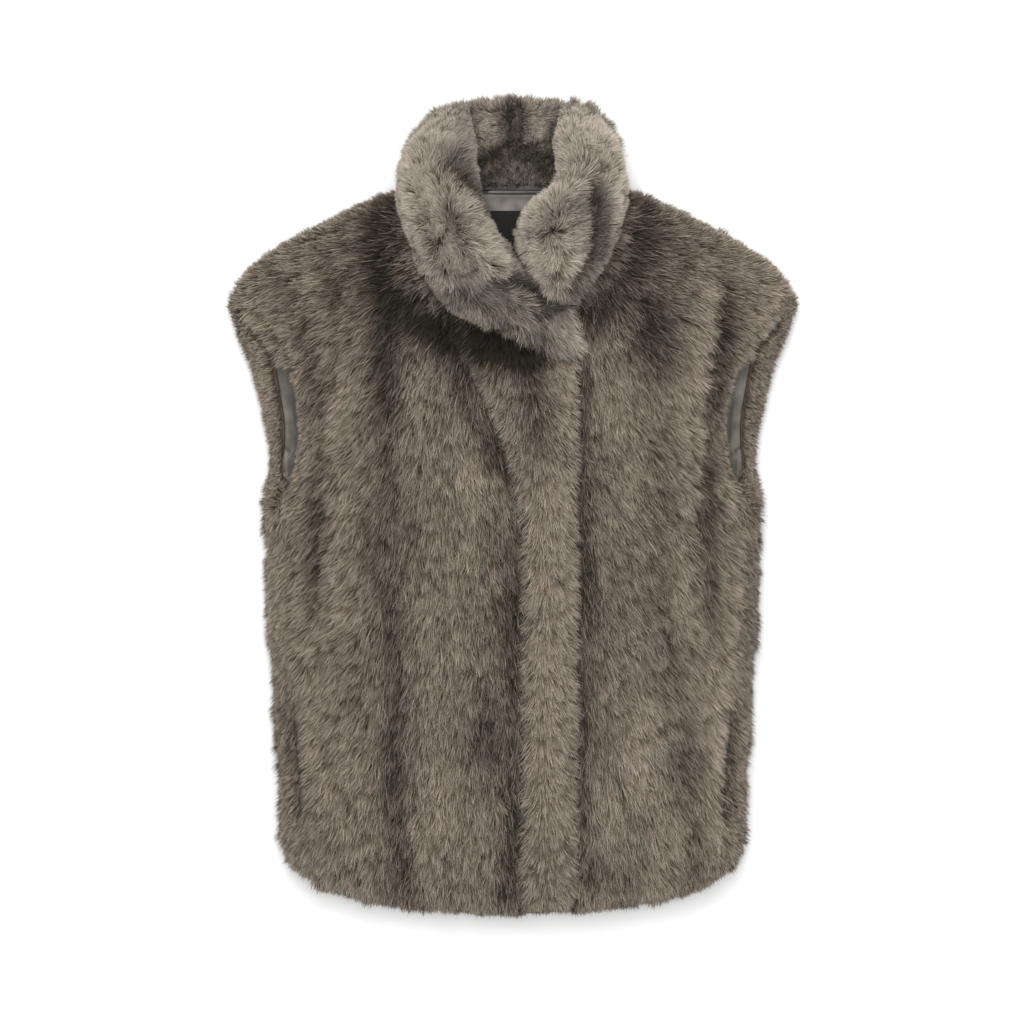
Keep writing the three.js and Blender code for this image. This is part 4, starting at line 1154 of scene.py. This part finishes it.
nape_u = stations((0, 0.06, 4), (0.06, 0.94, 72), (0.94, 1, 4))
nape_v = stations((0, 0.1, 4), (0.1, 0.8, 14), (0.8, 1, 7))[:, None]
edge_x, edge_y = along(collar_edge, nape_u)
left_end, right_end = COLLAR_BACK_EDGE[0][0], COLLAR_BACK_EDGE[-1][0]
nape_x = mix(mix(left_end, right_end, nape_u), edge_x, nape_v)
nape_y = mix(COLLAR_SEAM_Y, edge_y, nape_v)
nape_edge = np.minimum.reduce([
    distance_to(collar_edge[::9], nape_x, nape_y), nape_x - left_end + 2, right_end + 2 - nape_x,
])
nape_dip = np.maximum.reduce([
    sink(nape_edge, NAPE_ROLL, NAPE_RIM),
    sink(nape_y - COLLAR_SEAM_Y, NAPE_SEAM, NAPE_SEAM),
    troughs(COLLAR_BACK_FOLDS, nape_x, nape_y),
])
nape_skin = np.stack([nape_x, nape_y, FRONT_TOP - nape_dip], axis=2)
nape_roots = under_pile(nape_skin, np.full(nape_x.shape, NAPE_PILE), NAPE_LEAST)
nape_roots[..., 0] = nape_roots[..., 0].clip(left_end + 6, right_end - 9)
nape_under = nape_roots * [1, 1, 0]
nape_under[..., 2] = np.minimum(sink(nape_edge, BACK_ROLL, BACK_RIM), nape_roots[..., 2] - NAPE_WALL)
pelt_nape = make_piece("pelt_collar_back", *closed_wall(nape_roots, nape_under), underfur)
nape_normals = normals_of(nape_skin)
over_edge = near(nape_edge - 4, NAPE_ROLL)


def away_from(line, x, y, ease):
    """The direction from the nearest point of a line to each point, fading to nothing on the line."""
    nearest = np.full(x.shape, np.inf)
    found_x, found_y = np.zeros(x.shape), np.zeros(x.shape)
    for px, py in line:
        gap = np.hypot(x - px, y - py)
        closer = gap < nearest
        nearest = np.where(closer, gap, nearest)
        found_x, found_y = np.where(closer, x - px, found_x), np.where(closer, y - py, found_y)
    return found_x / (nearest + ease), found_y / (nearest + ease)


crease_points = np.vstack([curve_through(line, 24) for line in NAPE_CREASES])
crease_x, crease_y = away_from(crease_points, nape_x, nape_y, 1.0)
outward_x = np.tanh((nape_x - NAPE_MIDDLE) / 30)
nape_comb = combed(
    nape_normals,
    mix(crease_x, 0.5 * outward_x, over_edge) + 0.15 * drift(nape_x, nape_y, 16, 16, 41),
    mix(crease_y - 0.15, 1.0, over_edge),
)
at_rim = near(nape_edge - 1, 6)[..., None]
nape_comb = mix(nape_comb, nape_normals * [0.45, 0.45, 0] + [0, 0, -0.9], 0.8 * at_rim)
to_crease = distance_to(crease_points, nape_x, nape_y)
crease_gap = 1 - CREASE_BARE * np.exp(-((to_crease / CREASE_WIDTH) ** 2))
nape_tone = NAPE_TONE + 0.05 * drift(nape_x, nape_y, 18, 22, 42) + streaks(NAPE_PAINTED_LIGHT_AND_TONE, nape_x, nape_y)
nape_tone += 0.22 * smooth((np.abs(nape_x - NAPE_MIDDLE) - 40) / 20) + 0.10 * near(nape_edge, NAPE_RIM)
nape_length = mix(*NAPE_HAIR, smooth((nape_y - 325) / 40)) + NAPE_RIM_HAIR * at_rim[..., 0]
pile_nape = grow_pile(
    "pile_collar_back", nape_roots, nape_normals, nape_comb, crease_gap, nape_length, nape_tone, collar_pile,
    count=38000, seed=15, tuft=6.5,
)
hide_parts("collar_back")
for piece in (pelt_nape, pile_nape):
    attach(piece, "root")

# Right collar roll, on the viewer's left. The collar's deep front end, rolled over and laid across the
# other one to the band. Its hair falls away from a parting to both edges and round the roll's bulb.
COLLAR_BOTTOM = 32.4
ROLL_RIM = 6.0
ROLL_END = 0.07
BULB_RISE = 3.0
CROWN_LENGTH, CROWN_WIDTH, CROWN_EASE = 0.17, 0.26, 0.62
LOBE_GROOVE = {"across": 0.42, "width": 0.09, "depth": 7.0, "from": 0.18, "to": 0.86}
COLLAR_PILE, EDGE_PILE, PILE_SHARE = 8.0, 5.5, 0.2
ROLL_WALL = 1.5
ROLL_HAIR, ROLL_HAIR_SHARE = (8.0, 19.0), 0.32
NAPE_END_HAIR, NAPE_END_SHARE = 0.35, 0.24
ROLL_TONE, CROWN_PAINTED_HIGHLIGHT = 0.47, 0.24
CROSSING_X, CROSSING_Y, CROSSING_COMB = (-4.0, 26.0), (202.0, 14.0), (0.42, -1.0)
RIGHT_ROLL = {
    "outer": [
        (-76, 382), (-104, 346), (-113, 311), (-111, 286), (-101, 256), (-76, 206), (-34, 178), (14, 163),
        (40, 157), (62, 156),
    ],
    "inner": [(-41, 392), (-34, 360), (-32, 324), (-24, 288), (-7, 253), (13, 217), (31, 203), (61, 200)],
    "along": [0, 0.16, 0.42, 0.6, 0.82, 1],
    "rise": [3, 17, 29, 29, 17, 4],
    "crown": (0.44, 0.43),
    "bulb": (-60, 257, 30),
    "on_top": True,
    "hollows": [
        # width, depth, then the line
        (8, 8, [(-66, 326), (-52, 308), (-26, 290)]),
        (4, 6, [(-28, 217), (7, 208), (26, 197), (42, 199)]),
    ],
}


def collar_roll(roll):
    """A roll's outside, run down its length from the nape and across from its outer to its inner edge."""
    across = stations((0, 0.14, 6), (0.14, 0.86, 20), (0.86, 1, 6))
    down = stations((0, ROLL_END, 6), (ROLL_END, 1 - ROLL_END, 52), (1 - ROLL_END, 1, 6))[:, None]
    outer, inner = (along(curve_through(roll[edge]), down) for edge in ("outer", "inner"))
    x, y = (mix(outer[k], inner[k], across) for k in range(2))
    rise = np.interp(down, roll["along"], roll["rise"])
    crown = np.sqrt(np.maximum(0, 1 - np.abs(2 * across - 1) ** 3))
    end = np.sqrt(1 - (1 - np.clip(np.minimum(down, 1 - down) / ROLL_END, 0, 1)) ** 2)
    parted = np.exp(-(((across - LOBE_GROOVE["across"]) / LOBE_GROOVE["width"]) ** 2))
    run = smooth((down - LOBE_GROOVE["from"]) / 0.15) * smooth((LOBE_GROOVE["to"] - down) / 0.15)
    bulb_x, bulb_y, bulb_size = roll["bulb"]
    bulb = BULB_RISE * np.exp(-(((x - bulb_x) ** 2 + (y - bulb_y) ** 2) / bulb_size**2))
    body = ROLL_RIM + rise * crown - LOBE_GROOVE["depth"] * parted * run - troughs(roll["hollows"], x, y)
    z = COLLAR_BOTTOM + mix(ROLL_RIM / 3, np.maximum(body + bulb, ROLL_RIM), end)
    return np.stack([x, y, z], axis=2), across, down


def furred_roll(name, roll, streak_table, count, seed):
    """A collar roll's pelt and pile. The pile lies away from the roll's crown to both edges and both ends.
    The roll on top also falls over its outer edge where it crosses the other one."""
    skin, across, down = collar_roll(roll)
    normals = normals_of(skin)
    if normals[..., 2].mean() < 0:
        skin, down, normals = skin[::-1], down[::-1], normals_of(skin[::-1])
    edge = np.minimum(across, 1 - across) * np.ones(down.shape)
    roots = skin - normals * mix(EDGE_PILE, COLLAR_PILE, smooth(edge / PILE_SHARE))[..., None]
    roots[..., 2] = np.maximum(roots[..., 2], COLLAR_BOTTOM + ROLL_WALL)
    under = roots * [1, 1, 0] + [0, 0, COLLAR_BOTTOM]
    pelt = make_piece("pelt_" + name, *closed_wall(roots, under), underfur)
    x, y = skin[..., 0], skin[..., 1]
    runs = unit(np.gradient(skin[:, skin.shape[1] // 2, :2], axis=0) / np.gradient(down[:, 0])[:, None])
    over = unit(skin[:, -1, :2] - skin[:, 0, :2])
    crown_across, crown_down = roll["crown"]
    lengthwise = np.tanh((down - crown_down) / CROWN_LENGTH)
    crosswise = (across - crown_across) / CROWN_WIDTH
    flat_x, flat_y = (runs[:, k, None] * lengthwise + over[:, k, None] * crosswise for k in range(2))
    reach = np.hypot(flat_x, flat_y) + CROWN_EASE
    wave = np.radians(24 * drift(x, y, 26, 26, seed) + 13 * drift(x, y, 11, 11, seed + 1))
    crossing = smooth((x - CROSSING_X[0]) / CROSSING_X[1]) * smooth((CROSSING_Y[0] - y) / CROSSING_Y[1])
    crossing = crossing * roll["on_top"]
    flat_x, flat_y = (mix(flat / reach, way, crossing) for flat, way in zip((flat_x, flat_y), CROSSING_COMB))
    flat_x, flat_y = (
        flat_x * np.cos(wave) - flat_y * np.sin(wave), flat_x * np.sin(wave) + flat_y * np.cos(wave),
    )
    # A painted highlight on the roll's crown, where its top faces the light; the table adds painted light and
    # shade.
    tone = ROLL_TONE + CROWN_PAINTED_HIGHLIGHT * (1 - np.hypot(flat_x, flat_y).clip(0, 1)) + streaks(streak_table, x, y)
    tone += 0.10 * drift(x, y, 16, 16, seed + 2) + 0.07 * drift(x, y, 7, 7, seed + 3)
    hair = mix(*ROLL_HAIR, smooth(edge / ROLL_HAIR_SHARE))
    hair = hair * mix(NAPE_END_HAIR, 1.0, smooth(down / NAPE_END_SHARE))
    hair += 9.0 * crossing * smooth((0.45 - across) / 0.3)
    hair += 6.0 * smooth((across - 0.8) / 0.15) * smooth((268 - y) / 20) * roll["on_top"]
    hair += 4.0 * smooth((0.2 - across) / 0.15) * smooth((250 - y) / 40) * roll["on_top"]
    pile = grow_pile(
        "pile_" + name, roots, normals, combed(normals, flat_x, flat_y), np.ones(x.shape), hair, tone,
        collar_pile, count=count, seed=seed, lift=(38, 10),
    )
    for piece in (pelt, pile):
        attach(piece, "root")
    return pelt, pile


RIGHT_ROLL_PAINTED_LIGHT_AND_TONE = [
    # width, lightening, then the line: painted highlights on the roll's upper faces, and painted shade
    # in its hollows, along its edges and where it crosses the other roll
    (15, 0.16, [(-76, 292), (-66, 282)]),
    (13, 0.16, [(-40, 250), (-24, 230)]),
    (12, 0.10, [(-96, 332), (-84, 316)]),
    (9, 0.12, [(-12, 197), (50, 177)]),
    (10, -0.10, [(-62, 258), (-60, 248)]),
    (12, -0.46, [(-58, 320), (-44, 306), (-28, 288)]),
    (4.5, -0.70, [(-30, 218), (7, 208), (26, 197), (42, 199)]),
    (16, 0.12, [(-84, 350), (-92, 300)]),
    (8, -0.24, [(-110, 262), (-84, 208), (-36, 176), (0, 166)]),
    (20, -0.36, [(-44, 212), (-6, 190), (20, 182)]),
    (6, 0.20, [(56, 190), (54, 160)]),
    (12, -0.12, [(-44, 372), (-38, 340)]),
]
pelt_roll_right, pile_roll_right = furred_roll(
    "collar_right", RIGHT_ROLL, RIGHT_ROLL_PAINTED_LIGHT_AND_TONE, count=58000, seed=51,
)
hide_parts("collar_right")

# Left collar roll, on the viewer's right. The same deep end, curled into a round bulb over the neck and
# tucked under the other one.
LEFT_ROLL = {
    "outer": [(80, 385), (100, 353), (110, 323), (113, 303), (107, 272), (95, 242), (77, 216), (58, 202)],
    "inner": [
        (45, 391), (38, 356), (40, 322), (30, 306), (14, 294), (4, 276), (1, 257), (5, 236), (15, 217),
        (28, 206), (44, 204),
    ],
    "along": [0, 0.2, 0.55, 0.78, 1],
    "rise": [3, 17, 28, 27, 10],
    "crown": (0.64, 0.62),
    "bulb": (38, 262, 30),
    "on_top": False,
    "hollows": [(7, 9, [(71, 302), (73, 272), (66, 238), (52, 214)])],
}
LEFT_ROLL_PAINTED_LIGHT_AND_TONE = [
    # width, lightening, then the line: painted highlights on the roll's upper faces and bulb, and painted
    # shade in its hollow, between the bulb and the roll and along its inner and outer edges
    (22, 0.30, [(78, 354), (94, 300)]),
    (9, 0.18, [(17, 282), (36, 296), (55, 306)]),
    (11, 0.16, [(38, 246), (52, 232)]),
    (7, -0.24, [(26, 262), (50, 277), (74, 291)]),
    (6, -0.30, [(4, 250), (12, 226), (26, 208)]),
    (9, -0.26, [(114, 304), (106, 262), (90, 232), (68, 208)]),
    (8, -0.50, [(71, 302), (73, 272), (66, 238), (52, 214)]),
    (14, 0.12, [(94, 300), (96, 270)]),
]
pelt_roll_left, pile_roll_left = furred_roll(
    "collar_left", LEFT_ROLL, LEFT_ROLL_PAINTED_LIGHT_AND_TONE, count=48000, seed=61,
)
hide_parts("collar_left")

# Label. A plain black label of woven cloth, its edges turned under. It is stitched all round to the
# lining, below the hanging loop.
LABEL = {"left": -29.0, "right": 28.0, "low": 249.0, "high": 287.5, "bottom": 14.0, "thick": 0.8}
LABEL_TURN = 1.5
STITCH_LINE, STITCH_WIDTH, STITCH_DEPTH = 4.5, 1.2, 0.3
label_cloth, label_tree, label_surface = new_finish("label_cloth", {
    "Base Color": (0.012, 0.011, 0.010, 1.0),
    "Roughness": 0.8,
    "Specular IOR Level": 0.25,
    "Sheen Weight": 0.08,
})
woven_bump(label_tree, label_surface, 0.35, {"Scale": 500.0, "Distortion": 0.0, "Slant": 1.0})
label_x, label_y = np.meshgrid(
    np.linspace(LABEL["left"], LABEL["right"], 30), np.linspace(LABEL["low"], LABEL["high"], 20),
)
label_edge = np.minimum.reduce([
    label_x - LABEL["left"], LABEL["right"] - label_x, label_y - LABEL["low"], LABEL["high"] - label_y,
])
label_rise = LABEL["thick"] * np.sqrt(1 - (1 - np.clip(label_edge / LABEL_TURN, 0, 1)) ** 2)
label_rise -= STITCH_DEPTH * np.exp(-((label_edge - STITCH_LINE) / STITCH_WIDTH) ** 2)
label_top = np.stack([label_x, label_y, LABEL["bottom"] + 0.1 + np.maximum(label_rise, 0)], axis=2)
label_under = label_top * [1, 1, 0] + [0, 0, LABEL["bottom"]]
label = make_piece("neck_label", *closed_wall(label_top, label_under), label_cloth)
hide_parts("label")
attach(label, "root")

# Hanging loop. A narrow tube of the lining's satin, lying pressed flat across the back of the neck. It is
# stitched down at both ends, under the collar's rolls.
LOOP = {"left": -24.0, "right": 30.0, "y": 305.6, "wide": 3.4, "bottom": 14.0, "thick": 1.6}
LOOP_SHADE = 1.2
loop_x = np.linspace(LOOP["left"], LOOP["right"], 60)
loop_turn = np.linspace(0, 2 * np.pi, 17)[:-1]
loop_share = (loop_x - LOOP["left"]) / (LOOP["right"] - LOOP["left"])
loop_swell = (0.82 + 0.18 * np.sin(loop_share * np.pi))[:, None]
loop_ring = np.stack([
    loop_x[:, None] + 0 * loop_turn,
    LOOP["y"] + LOOP["wide"] / 2 * loop_swell * np.cos(loop_turn),
    LOOP["bottom"] + LOOP["thick"] / 2 * (1 + loop_swell * np.sin(loop_turn)),
], axis=2)
hanging_loop = make_piece(
    "hanging_loop_tube", loop_ring, tube_faces(*loop_ring.shape[:2], turned=True), satin,
)
mark_shade(hanging_loop, LOOP_SHADE)
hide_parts("hanging_loop")
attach(hanging_loop, "root")
